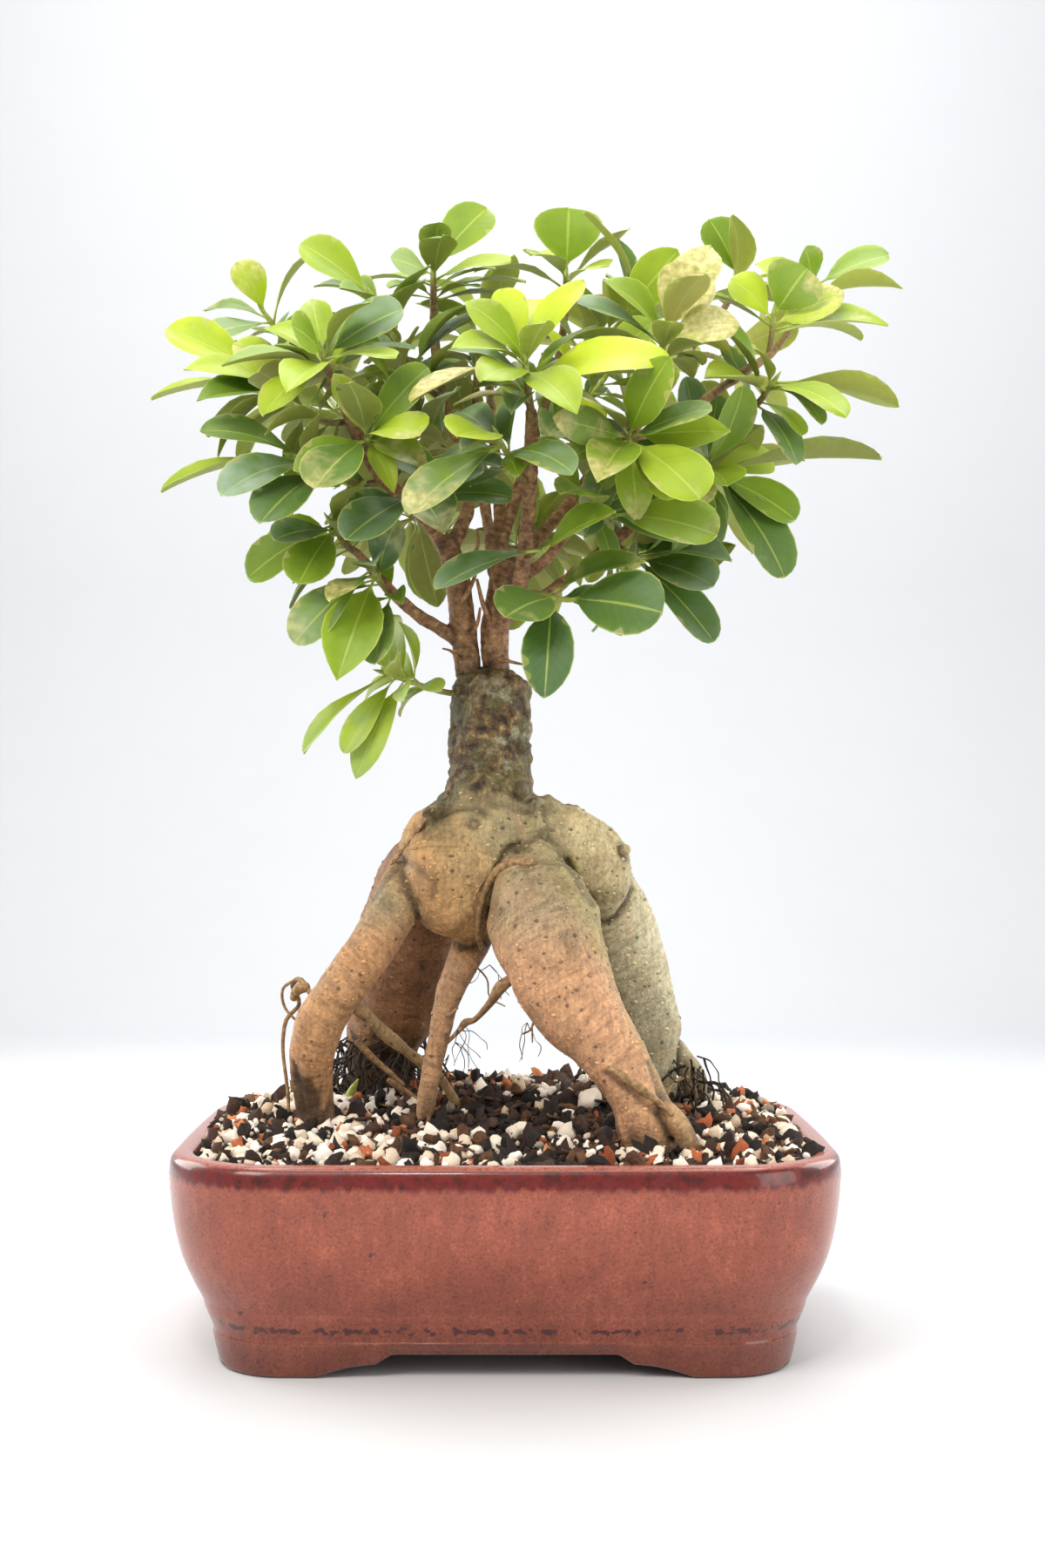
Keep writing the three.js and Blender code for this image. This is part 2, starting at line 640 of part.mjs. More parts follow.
    aims: [
      [-14, -64, 274, 17.5, 1.5], [-28, -60, 252, 16, 0.8], [20, -60, 264, 16, 1],
    ],
  },
  {
    name: "right_centre", branch: "rightReach", at: 0.72, tip: [38, -32, 279],
    leaves: 2, turn: 10, size: 36,
    aims: [
      [58, -52, 258, 20, 1.4], [31, -58, 262, 16.5, 1.4], [62, -46, 286, 16.5, 1],
      [20, -54, 288, 15, 0.9],
    ],
  },
  {
    name: "right_centre_low", branch: "rightReach", at: 0.4, tip: [32, -22, 258],
    leaves: 1, turn: 0, size: 36,
    aims: [
      [65, -34, 250, 22, 1.2], [18, -46, 246, 16, 1],
    ],
  },
  {
    name: "right_inner", branch: "innerUp", at: 0.62, tip: [32, 14, 308],
    leaves: 4, turn: 200, size: 34,
    aims: [
      [49, 6, 325, 16.5, 1.2], [53, -16, 309, 14, 1.3],
    ],
  },
  {
    name: "left_inner", branch: "leftUp", at: 0.5, tip: [-37, 8, 304],
    leaves: 4, turn: 20, size: 34,
    aims: [
      [-48, -10, 318, 16, 1.2],
    ],
  },
  {
    name: "centre_inner", branch: "innerLeft", at: 1, tip: [-9, 22, 322],
    leaves: 4, turn: 70, size: 34,
    aims: [
      [2, 12, 342, 16, 1.2],
    ],
  },
  {
    name: "right_inner_top", branch: "innerUp", at: 0.8, tip: [46, 28, 340],
    leaves: 4, turn: 20, size: 34,
    aims: [
      [26, 20, 366, 10, 0.3], [58, 22, 354, 16, 1.4],
    ],
  },
  {
    name: "back_left_low", branch: "leftBack", at: 0.35, tip: [-38, 50, 276],
    leaves: 5, turn: 110, size: 38,
    aims: [],
  },
  {
    name: "back_left", branch: "leftBack", at: 0.68, tip: [-62, 58, 312],
    leaves: 6, turn: 60, size: 38,
    aims: [],
  },
  {
    name: "back_left_top", branch: "leftBack", at: 0.55, tip: [-38, 48, 338],
    leaves: 6, turn: 0, size: 36,
    aims: [],
  },
  {
    name: "back_crown", branch: "midBack", at: 1, tip: [-8, 66, 342],
    leaves: 6, turn: 30, size: 36,
    aims: [],
  },
  {
    name: "back_middle", branch: "midBack", at: 0.62, tip: [-14, 76, 300],
    leaves: 6, turn: 80, size: 38,
    aims: [],
  },
  {
    name: "back_low", branch: "midBack", at: 0.3, tip: [14, 58, 268],
    leaves: 5, turn: 10, size: 38,
    aims: [],
  },
  {
    name: "back_right_low", branch: "rightBack", at: 0.45, tip: [48, 56, 276],
    leaves: 5, turn: 45, size: 38,
    aims: [],
  },
  {
    name: "back_right_top", branch: "rightBack", at: 0.68, tip: [38, 74, 338],
    leaves: 6, turn: 70, size: 36,
    aims: [],
  },
  {
    name: "back_right", branch: "rightBack", at: 0.85, tip: [86, 66, 324],
    leaves: 6, turn: 20, size: 36,
    aims: [],
  },
  {
    name: "right_rear_outer", branch: "rightLow", at: 0.6, tip: [78, 44, 288],
    leaves: 6, turn: 0, size: 38,
    aims: [],
  },
  {
    name: "trunk_twig", branch: "trunk", at: 0.86, tip: [-38, -4, 210],
    leaves: 0, turn: 0, size: 30,
    aims: [
      [-64, -12, 184, 8, 0.4], [-51, -14, 184, 9, 1.7], [-46, -14, 176, 11, 1.4],
      [-34, -12, 226, 9, 0.6], [-20, -13, 204, 8, 1.6],
    ],
  },
];

const SHOOT_SEED = 52711;
const STALK_HALF = 0.5;
const BUD_LENGTH = 5;
const BLADE_SHARES = [
  [0.42, 0.86],
  [0.76, 0.9],
];
const STALK_SHARES = [0, 0.15];

// Turns, lifts, rolls and sizes that a leaf tries in this order until it touches nothing.
const TRIES = [];
for (const size of [1, 0.85, 0.7]) {
  for (const spread of [0, 8, 16, 26, 38]) {
    for (const [turn, lift, roll] of [[1, 0, 0], [-1, 0, 0], [0, 1, 0], [0, -1, 0], [0, 0, 2], [0, 0, -2]]) {
      TRIES.push([turn * spread, lift * spread, roll * spread, size]);
      if (spread === 0) break;
    }
  }
}

// The point at a share of a list of stations.
function pointAt(stations, share) {
  const place = Math.min(share, 0.9999) * (stations.length - 1);
  const i = Math.floor(place);
  return vec(stations[i]).lerp(vec(stations[i + 1]), place - i);
}

// A green stem rises from its branch to its bud in a slight bow.
function stemStations(shoot) {
  const foot = pointAt(BRANCHES[shoot.branch], shoot.at);
  const bud = vec(shoot.tip);
  const length = foot.distanceTo(bud);
  const radius = shoot.at === 1 ? 1.3 : 1.15;
  return [0, 0.4, 1].map((share) => {
    const spot = foot.clone().lerp(bud, share);
    spot.z -= 0.12 * length * Math.sin(Math.PI * share) * (shoot.tip[2] > foot.z ? 1 : -1);
    return [spot.x, spot.y, spot.z, radius - 0.35 * share];
  });
}

// The leaves that a shoot would have if nothing were in their way.
function plannedLeaves(shoot, index) {
  const draw = dice(SHOOT_SEED + 97 * index);
  const stations = stemStations(shoot);
  const axis = vec(shoot.tip).sub(pointAt(stations, 0.5)).normalize();
  const side = new THREE.Vector3(0, 0, 1).cross(axis);
  if (side.length() < 0.1) side.set(1, 0, 0);
  side.normalize();
  const rise = axis.clone().cross(side);
  const leaves = shoot.aims.map(([x, y, z, width, face], i) => {
    const base = pointAt(stations, 0.99 - 0.34 * (i / shoot.aims.length));
    const up = new THREE.Vector3(0, -face, 1);
    return { base, tip: new THREE.Vector3(x, y, z), up, width, arc: 20 + 35 * draw() };
  });
  for (let i = 0; i < shoot.leaves; i++) {
    const share = (i + 1) / (shoot.leaves + 1);
    const base = pointAt(stations, 0.45 + 0.53 * share);
    const turn = radians(shoot.turn + GOLDEN_ANGLE * i + 16 * (draw() - 0.5));
    const open = radians(92 - 48 * share + 12 * (draw() - 0.5));
    const length = shoot.size * (1.05 - 0.3 * share) * (0.9 + 0.2 * draw());
    const out = side.clone().multiplyScalar(Math.cos(turn)).addScaledVector(rise, Math.sin(turn));
    const along = axis.clone().multiplyScalar(Math.cos(open)).addScaledVector(out, Math.sin(open));
    along.z -= 0.12;
    const tip = base.clone().addScaledVector(along.normalize(), length);
    const up = axis.clone().multiplyScalar(Math.sin(open)).addScaledVector(out, -Math.cos(open));
    up.z += 0.6;
    up.y -= 0.25;
    leaves.push({ base, tip, up, width: length * (0.37 + 0.08 * draw()), arc: 20 + 40 * draw() });
  }
  return leaves;
}

// A planned leaf after one of the tries.
function moved(leaf, [turn, lift, roll, size]) {
  const reach = leaf.tip.clone().sub(leaf.base);
  reach.applyAxisAngle(new THREE.Vector3(0, 0, 1), radians(turn));
  const level = new THREE.Vector3(0, 0, 1).cross(reach);
  if (level.length() > 1e-6) reach.applyAxisAngle(level.normalize(), radians(-lift));
  reach.multiplyScalar(size);
  const along = reach.clone().normalize();
  const up = leaf.up.clone().addScaledVector(along, -leaf.up.dot(along)).normalize();
  up.applyAxisAngle(along, radians(roll));
  return { ...leaf, tip: leaf.base.clone().add(reach), up, width: leaf.width * size };
}

// A blade and its stalk on one arc from base to tip. The stalk is three-sided, the blade is a thin
// plate and its tip an upright edge. `stalk` gives the shares where the stalk's sections lie, and
// `fat` is added all round.
const STALK_SECTION = [[-1, -1], [1, -1], [0, 1], [0, 1]];
const BLADE_SECTION = [[-1, -1], [1, -1], [1, 1], [-1, 1]];
const TIP_SECTION = [[0, -1], [0, -1], [0, 1], [0, 1]];

function blade(leaf, stalk = STALK_SHARES, fat = 0) {
  const reach = leaf.tip.clone().sub(leaf.base);
  const along = reach.clone().normalize();
  const across = along.clone().cross(leaf.up);
  const half = radians(leaf.arc) / 2;
  const radius = reach.length() / (2 * Math.sin(half));
  const section = (share, width, corners) => {
    const angle = (2 * share - 1) * half;
    const spot = leaf.base.clone();
    spot.addScaledVector(along, radius * (Math.sin(angle) + Math.sin(half)));
    spot.addScaledVector(leaf.up, radius * (Math.cos(angle) - Math.cos(half)));
    const up = leaf.up.clone().multiplyScalar(Math.cos(angle)).addScaledVector(along, Math.sin(angle));
    const thick = LEAF_THICKNESS / 2 + fat;
    return corners.map(([s, t]) => {
      const corner = spot.clone().addScaledVector(across, s * (width + fat));
      return corner.addScaledVector(up, t * thick);
    });
  };
  return plate([
    ...stalk.map((share) => section(share, STALK_HALF, STALK_SECTION)),
    ...BLADE_SHARES.map(([share, wide]) => section(share, (wide * leaf.width) / 2, BLADE_SECTION)),
    section(1, 0, TIP_SECTION),
  ]);
}

// A closed plate over four-cornered sections.
function plate(sections) {
  const faces = [[3, 2, 1], [3, 1, 0]];
  for (let k = 0; k + 1 < sections.length; k++) {
    for (let i = 0; i < 4; i++) {
      const a = 4 * k + i;
      const b = 4 * k + ((i + 1) % 4);
      faces.push([a, b, b + 4], [a, b + 4, a + 4]);
    }
  }
  return welded(sections.flat(), faces);
}

// Bodies that may touch are compared box by box before they are cut.
function boxesMeet(a, b) {
  const p = a.boundingBox();
  const q = b.boundingBox();
  return [0, 1, 2].every((i) => p.min[i] < q.max[i] && q.min[i] < p.max[i]);
}
const meets = (a, b) => boxesMeet(a, b) && a.intersect(b).volume() > 1e-6;

// A leaf stays clear of all other bodies, and of its own shoot past the foot of its stalk.
const CLEARANCE = SEAT_GAP + 0.05;
const OWN_CLEARANCE = 0.1;
const GREEN_STEM_SIDES = 4;

function makeShoots(obstacles, grownWood) {
  const stems = SHOOTS.map((shoot) => {
    const stations = stemStations(shoot);
    return limb(stations, GREEN_STEM_SIDES, 0, BUD_LENGTH / stations.at(-1)[3]);
  });
  const placed = [];
  return SHOOTS.map((shoot, index) => {
    const own = [];
    for (const leaf of plannedLeaves(shoot, index)) {
      for (const attempt of TRIES) {
        const candidate = moved(leaf, attempt);
        const test = blade(candidate, STALK_SHARES, CLEARANCE);
        const inOwn = blade(candidate, STALK_SHARES.slice(1), OWN_CLEARANCE);
        if (obstacles.some((o) => meets(test, o))) continue;
        if (stems.some((s, i) => i !== index && meets(test, s))) continue;
        if (placed.some((p) => p.index !== index && meets(test, p.body))) continue;
        if (own.some((o) => meets(inOwn, o)) || meets(inOwn, stems[index])) continue;
        const body = blade(candidate);
        own.push(body);
        placed.push({ index, body });
        break;
      }
    }
    const whole = join([stems[index], ...own]);
    return largest(whole.subtract(grownWood));
  });
}

// Colours of the materials
const FINISHES = {
  glaze: { color: 0x8a4038, roughness: 0.3 },
  mesh: { color: 0x1c1c1c, roughness: 0.6 },
  soil: { color: 0x3b2c22, roughness: 0.95 },
  root: { color: 0xa08c6a, roughness: 0.75 },
  bark: { color: 0x8a6247, roughness: 0.8 },
  leaf: { color: 0x5c8a35, roughness: 0.5 },
};

function mesh(name, body, finish) {
  const made = body.getMesh();
  const geometry = new THREE.BufferGeometry();
  geometry.setAttribute("position", new THREE.BufferAttribute(made.vertProperties, 3));
  geometry.setIndex(new THREE.BufferAttribute(made.triVerts, 1));
  geometry.computeVertexNormals();
  const material = new THREE.MeshStandardMaterial({ ...FINISHES[finish], name: finish });
  const part = new THREE.Mesh(geometry, material);
  part.name = name;
  return part;
}

// The assembly
const plant = new THREE.Group();
plant.name = "ficus_ginseng_bonsai";
const sockets = [LEFT_SCION.leftStem, RIGHT_SCION.rightStem].map((s) => limb(s, STEM_SIDES, SEAT_GAP));
const rootstock = join(rootLimbs(0)).subtract(join(sockets));
const leftWood = join(woodLimbs(LEFT_SCION, 0));
const rightWood = join(woodLimbs(RIGHT_SCION, 0));
const scionLimbs = [LEFT_SCION, RIGHT_SCION].flatMap((scion) => woodLimbs(scion, SEAT_GAP));
const grownWood = join([...scionLimbs, ...rootLimbs(SEAT_GAP)]);
plant.add(mesh("pot", makePot(), "glaze"));
plant.add(mesh("drain_screen_left", makeScreen(-DRAIN_X), "mesh"));
plant.add(mesh("drain_screen_right", makeScreen(DRAIN_X), "mesh"));
plant.add(mesh("soil", makeSoil(), "soil"));
plant.add(mesh("rootstock", rootstock, "root"));
plant.add(mesh("scion_left", largest(leftWood), "bark"));
plant.add(mesh("scion_right", largest(rightWood), "bark"));
makeShoots([rootstock, leftWood, rightWood], grownWood).forEach((body, i) => {
  plant.add(mesh(`shoot_${SHOOTS[i].name}`, body, "leaf"));
});

const box = new THREE.Box3().setFromObject(plant);
const middle = box.getCenter(new THREE.Vector3());
plant.position.set(-middle.x, -middle.y, -box.min.z);

export default plant;
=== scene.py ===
from functools import partial
from math import cos, hypot, pi, radians, sin, sqrt, tan

import bmesh
import bpy
import numpy as np
from mathutils import Euler, Matrix, Vector, kdtree, noise
from mathutils.bvhtree import BVHTree
from numpy.linalg import norm


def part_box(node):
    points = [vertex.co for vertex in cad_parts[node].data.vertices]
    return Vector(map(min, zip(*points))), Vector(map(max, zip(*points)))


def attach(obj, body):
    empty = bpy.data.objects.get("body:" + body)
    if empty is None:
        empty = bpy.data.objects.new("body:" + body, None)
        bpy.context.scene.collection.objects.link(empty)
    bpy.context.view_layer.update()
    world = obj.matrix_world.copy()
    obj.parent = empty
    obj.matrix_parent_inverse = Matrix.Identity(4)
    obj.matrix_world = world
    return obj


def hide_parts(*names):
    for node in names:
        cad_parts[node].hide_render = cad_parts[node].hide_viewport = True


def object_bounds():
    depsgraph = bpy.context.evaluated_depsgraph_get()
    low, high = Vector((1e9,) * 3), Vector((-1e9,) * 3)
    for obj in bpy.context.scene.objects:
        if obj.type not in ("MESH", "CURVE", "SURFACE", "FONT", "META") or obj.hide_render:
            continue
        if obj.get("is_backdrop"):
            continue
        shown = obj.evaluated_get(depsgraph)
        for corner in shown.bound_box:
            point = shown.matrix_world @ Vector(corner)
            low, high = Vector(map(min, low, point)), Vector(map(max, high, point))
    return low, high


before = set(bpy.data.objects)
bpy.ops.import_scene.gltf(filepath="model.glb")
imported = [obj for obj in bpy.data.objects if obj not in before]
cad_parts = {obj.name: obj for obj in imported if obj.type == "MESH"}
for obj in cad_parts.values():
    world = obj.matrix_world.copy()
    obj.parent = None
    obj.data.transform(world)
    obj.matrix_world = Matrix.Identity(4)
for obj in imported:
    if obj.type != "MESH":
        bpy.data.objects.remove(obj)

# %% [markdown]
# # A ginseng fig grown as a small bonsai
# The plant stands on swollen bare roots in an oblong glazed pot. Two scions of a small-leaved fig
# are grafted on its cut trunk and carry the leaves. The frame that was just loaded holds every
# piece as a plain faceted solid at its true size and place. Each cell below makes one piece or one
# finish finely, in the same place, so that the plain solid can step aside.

MM = 0.001
cad_box = [list(corner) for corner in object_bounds()]
pot_low, pot_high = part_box("pot")
# The plant is drawn in millimetres round the middle of the pot's base.
POT_MIDDLE = np.array([(pot_low.x + pot_high.x) / 2, (pot_low.y + pot_high.y) / 2, 0.0]) / MM
print("pot middle in mm:", POT_MIDDLE.round(2))

# %% [markdown]
# ## Helpers
# A colour is given as an sRGB hex value, but light is added up in linear values, so one
# function converts them. Node trees are long lists of nodes and links. One small function adds a
# node with its settings and links. Each tree calls it as `add`, so it reads from top to bottom.

# %% Colour, nodes and meshes
def colour(code):
    """An sRGB hex value such as 8a4038 as linear red, green, blue and alpha."""
    parts = [int(code[i:i + 2], 16) / 255 for i in (0, 2, 4)]
    linear = [p / 12.92 if p <= 0.04045 else ((p + 0.055) / 1.055) ** 2.4 for p in parts]
    return (*linear, 1.0)


# A kind of node is written without the prefix that Blender gives it.
PREFIXES = ("ShaderNode", "GeometryNode", "FunctionNode", "Node")


def titles(socket):
    """What an input is called, in small letters with underscores."""
    return [text.lower().replace(" ", "_") for text in (socket.name, socket.identifier)]


def add_node(tree, kind, *values, stops=(), **named):
    """Adds a node. Values fill its inputs from the top. A name is an input's, or else a setting's.

    A value that is a node or a socket is linked. `stops` are the places and colours of a ramp. What
    follows the full stop in a kind is its operation, or the type of value that a Mix node mixes.
    """
    kind, _, mode = kind.partition(".")
    made = tree.nodes.new(next(p + kind for p in PREFIXES if hasattr(bpy.types, p + kind)))
    if mode:
        setattr(made, "data_type" if kind == "Mix" else "operation", mode)
    known = [title for socket in made.inputs for title in titles(socket)]
    for name, value in named.items():
        if name not in known:
            setattr(made, name, value)
    sockets = [socket for socket in made.inputs if socket.enabled]
    pairs = list(zip(sockets, values))
    for name in filter(known.__contains__, named):
        pairs.append((next(socket for socket in sockets if name in titles(socket)), named[name]))
    for socket, value in pairs:
        if isinstance(value, bpy.types.Node):
            value = next(output for output in value.outputs if output.enabled)
        if isinstance(value, bpy.types.NodeSocket):
            tree.links.new(value, socket)
        else:
            socket.default_value = colour(value) if socket.type == "RGBA" else value
    for number, (place, code) in enumerate(stops):
        elements = made.color_ramp.elements
        element = elements[number] if number < len(elements) else elements.new(1)
        element.position = place
        element.color = colour(code)
    return made


def new_material(name):
    """An empty material, the function that adds its nodes, and the object's own coordinates."""
    material = bpy.data.materials.new(name)
    material.use_nodes = True
    material.node_tree.nodes.clear()
    add = partial(add_node, material.node_tree)
    return material, add, add("TexCoord").outputs["Object"]


def per(size):
    """The scale of a pattern whose features are that many mm apart."""
    return 1 / (size * MM)


def grainy(name, size, detail, stops, rough, strength, depth, noise_rough=0.5):
    """A matt finish whose grain, of that many mm, gives its tones and its relief, also in mm."""
    material, add, place = new_material(name)
    grain = add("TexNoise", place, per(size), detail=detail, roughness=noise_rough)
    tone = add("ValToRGB", grain, stops=stops)
    bump = add("Bump", height=grain, strength=strength, distance=depth * MM)
    add("OutputMaterial", add("BsdfPrincipled", base_color=tone, roughness=rough, normal=bump))
    return material


def coat(made, *finishes):
    made.data.materials.clear()
    for finish in finishes:
        made.data.materials.append(finish)


def shown(name, data):
    """An object of that data in the scene."""
    made = bpy.data.objects.new(name, data)
    bpy.context.scene.collection.objects.link(made)
    return made


def new_mesh(name, points, faces):
    """A mesh of points in millimetres round the pot's middle, as an object at the origin."""
    mesh = bpy.data.meshes.new(name)
    places = (np.asarray(points, float) + POT_MIDDLE) * MM
    mesh.from_pydata(places.tolist(), [], faces if isinstance(faces, list) else faces.tolist())
    mesh.polygons.foreach_set("use_smooth", [True] * len(mesh.polygons))
    mesh.update()
    return shown(name, mesh)


def corners(made, key):
    """A row of x, y and z for each vertex: its place, co, or the way it faces, normal."""
    flat = np.zeros(len(made.data.vertices) * 3)
    made.data.vertices.foreach_get(key, flat)
    return flat.reshape(-1, 3)


def points_of(made):
    """An object's vertices in millimetres round the pot's middle."""
    return corners(made, "co") / MM - POT_MIDDLE


def set_points(made, points):
    made.data.vertices.foreach_set("co", ((points + POT_MIDDLE) * MM).ravel())
    made.data.update()


def store(made, name, values, kind="FLOAT"):
    """Keeps one value for each point, such as how dark a crease is, for a material to read."""
    attribute = made.data.attributes.new(name, kind, "POINT")
    key = {"FLOAT_VECTOR": "vector", "FLOAT_COLOR": "color"}.get(kind, "value")
    attribute.data.foreach_set(key, np.asarray(values).ravel())


def applied(made):
    """Turns an object's modifiers into its plain mesh."""
    shape = made.evaluated_get(bpy.context.evaluated_depsgraph_get())
    mesh = bpy.data.meshes.new_from_object(shape)
    mesh.name = made.name
    made.modifiers.clear()
    made.data = mesh
    return made


def finished(made, slot, *nodes):
    """Rides a piece on the body, hides the frame's nodes it stands for, and prints its size. Its `slot`
    is not used.
    """
    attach(made, "root")
    if nodes:
        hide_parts(*nodes)
    triangles = sum(len(p.vertices) - 2 for p in made.data.polygons)
    print(f"{made.name}: {triangles} triangles")


def dice(seed):
    """The seeded draw of numbers from 0 to 1 that also placed the repeats in the frame."""
    state = seed
    while True:
        state = state * 16807 % 2147483647
        yield state / 2147483647


def fractal(point, size, octaves=3):
    """Smooth noise from about -1 to 1 whose largest bumps are `size` millimetres across."""
    return noise.fractal(Vector(point) / size, 1.0, 2.0, octaves, noise_basis="PERLIN_ORIGINAL")


def fractal_of(points, size, octaves=2):
    return np.array([fractal(p, size, octaves) for p in points])


def unit(vector):
    return vector / norm(vector)


def smoothstep(low, high, value):
    share = np.clip((np.asarray(value, float) - low) / (high - low), 0, 1)
    return share * share * (3 - 2 * share)


# %% [markdown]
# ## The pot
# A pot of this kind is pressed or slip-cast stoneware: a bowed oblong with round corners, a rounded
# lip, a wall that tapers to a small ledge, and an apron below it that is cut away between four
# cloud-shaped feet. Its form follows a rule, so it is lofted: one outline is drawn from straight
# sides and corner arcs, and a profile says how far inside the rim it lies at each height.

# %% The pot's outline
POT_WIDTH = 203
POT_DEPTH = 156
POT_CORNER = 33
SIDE_BOW = 2
FOOT_RISE = 6.8
FOOT_LENGTH = 11
SCALLOP_RUN = 20
CORNER_X = POT_WIDTH / 2 - SIDE_BOW - POT_CORNER
CORNER_Y = POT_DEPTH / 2 - SIDE_BOW - POT_CORNER


def scallop(past):
    """How far the foot's edge has risen that many mm past the flat foot: a long slope, then a step."""
    slope = 0.55 * np.sin(np.pi / 2 * np.clip(past / (SCALLOP_RUN - 2), 0, 1))
    step = 0.45 * smoothstep(SCALLOP_RUN - 3, SCALLOP_RUN + 3, past)
    return slope + step


def outline(long_stops, short_stops, corner_steps):
    """Rows of x, y, the facing nx, ny and the lift of the foot's edge, once round the pot."""
    rows = []

    def side(stops, is_long, sign):
        for stop in stops:
            x = -sign * stop if is_long else sign * CORNER_X
            y = -sign * CORNER_Y if is_long else -sign * stop
            end = CORNER_X if is_long else CORNER_Y
            lift = scallop(end - abs(stop) - FOOT_LENGTH)
            rows.append((x, y, 0 if is_long else sign, -sign if is_long else 0, lift))

    def corner(sign_x, sign_y, start):
        for k in range(1, corner_steps):
            angle = start + k / corner_steps * pi / 2
            rows.append((sign_x * CORNER_X, sign_y * CORNER_Y, cos(angle), sin(angle), 0))

    for is_long, sign, sign_x, sign_y, start in (
            (True, 1, 1, -1, -pi / 2), (False, 1, 1, 1, 0), (True, -1, -1, 1, pi / 2),
            (False, -1, -1, -1, pi)):
        side(long_stops if is_long else short_stops, is_long, sign)
        corner(sign_x, sign_y, start)
    return np.array(rows)


def ring(rows, inset, z, lift_share=0.0):
    """The outline as points, that far inside the rim and at that height."""
    reach = POT_CORNER - inset
    x = rows[:, 0] + reach * rows[:, 2]
    y = rows[:, 1] + reach * rows[:, 3]
    bow_x = SIDE_BOW * (1 - (y / (POT_DEPTH / 2)) ** 2) * rows[:, 2] ** 2
    bow_y = SIDE_BOW * (1 - (x / (POT_WIDTH / 2)) ** 2) * rows[:, 3] ** 2
    height = z + lift_share * FOOT_RISE * rows[:, 4]
    return np.stack([x + np.sign(x) * bow_x, y + np.sign(y) * bow_y, height], 1)


def through(points, steps):
    """A smooth line through points, with that many steps between each two."""
    points = np.asarray(points, float)
    padded = np.vstack([2 * points[0] - points[1], points, 2 * points[-1] - points[-2]])
    line = []
    for a, b, c, d in zip(padded, padded[1:], padded[2:], padded[3:]):
        for t in np.arange(steps) / steps:
            line.append(0.5 * (2 * b + (c - a) * t + (2 * a - 5 * b + 4 * c - d) * t * t
                               + (3 * b - a - 3 * c + d) * t ** 3))
    line.append(points[-1])
    return np.array(line)


def skin(rings, start, end):
    """Points and faces of a closed skin over equal rings, with a point at each end."""
    n = len(rings[0])
    faces = []
    for k in range(len(rings) - 1):
        for i in range(n):
            j = (i + 1) % n
            faces.append((k * n + i, k * n + j, (k + 1) * n + j, (k + 1) * n + i))
    last = (len(rings) - 1) * n
    first_point, last_point = len(rings) * n, len(rings) * n + 1
    for i in range(n):
        j = (i + 1) % n
        faces.append((j, i, first_point))
        faces.append((last + i, last + j, last_point))
    return np.vstack([*rings, start, end]), faces


# %% The pot's wall, lip and feet
FLOOR = 13.5
UNDERSIDE = 8.2
INNER_WALL = [(21.5, FLOOR), (18, 18), (10.5, 40), (8.6, 58)]
LIP = [(8, 62.2), (6.6, 63.7), (4.4, 64), (2.1, 63.6), (0.6, 62.1)]
OUTER_WALL = [(0, 59), (0, 55), (1.3, 43), (3.8, 33), (7.2, 25.4), (9.9, 20.4), (10.5, 18.2),
              (11.4, 15.8), (12.7, 12.8), (13.2, 11.2)]
APRON = [(13.0, 9.9, 0.15), (13.9, 5.5, 0.6), (14.9, 1.6, 1), (15.6, 0.5, 1), (17, 0, 1), (22.8, 0, 1),
         (24, 0.5, 1)]
rows = outline(np.linspace(CORNER_X, -CORNER_X, 61), np.linspace(CORNER_Y, -CORNER_Y, 41), 15)
profile = through([(a, b, 0) for a, b in [*INNER_WALL, *LIP, *OUTER_WALL]] + APRON, 4)
under = [(25.2, UNDERSIDE - 0.4, 0.1), (26.5, UNDERSIDE, 0), (34, UNDERSIDE, 0)]
pot_rings = [ring(rows, POT_CORNER * 0.92, FLOOR)] + [ring(rows, *p) for p in profile]
pot_rings += [ring(rows, *p) for p in under]
points, faces = skin(pot_rings, (0, 0, FLOOR), (0, 0, UNDERSIDE))
pot = new_mesh("glazed_pot", points, [f[::-1] for f in faces])

# %% The pot's drain holes
DRAIN_RADIUS = 7
DRAIN_X = 40
for x in (-DRAIN_X, DRAIN_X):
    shape = bmesh.new()
    bmesh.ops.create_cone(shape, cap_ends=True, segments=48, depth=30 * MM,
                          radius1=DRAIN_RADIUS * MM, radius2=DRAIN_RADIUS * MM,
                          matrix=Matrix.Translation((Vector((x, 0, FLOOR)) + Vector(POT_MIDDLE)) * MM))
    drill_mesh = bpy.data.meshes.new("drill")
    shape.to_mesh(drill_mesh)
    shape.free()
    drill = shown("drill", drill_mesh)
    cut = pot.modifiers.new("drain hole", "BOOLEAN")
    cut.object = drill
    cut.solver = "EXACT"
    applied(pot)
    bpy.data.objects.remove(drill)
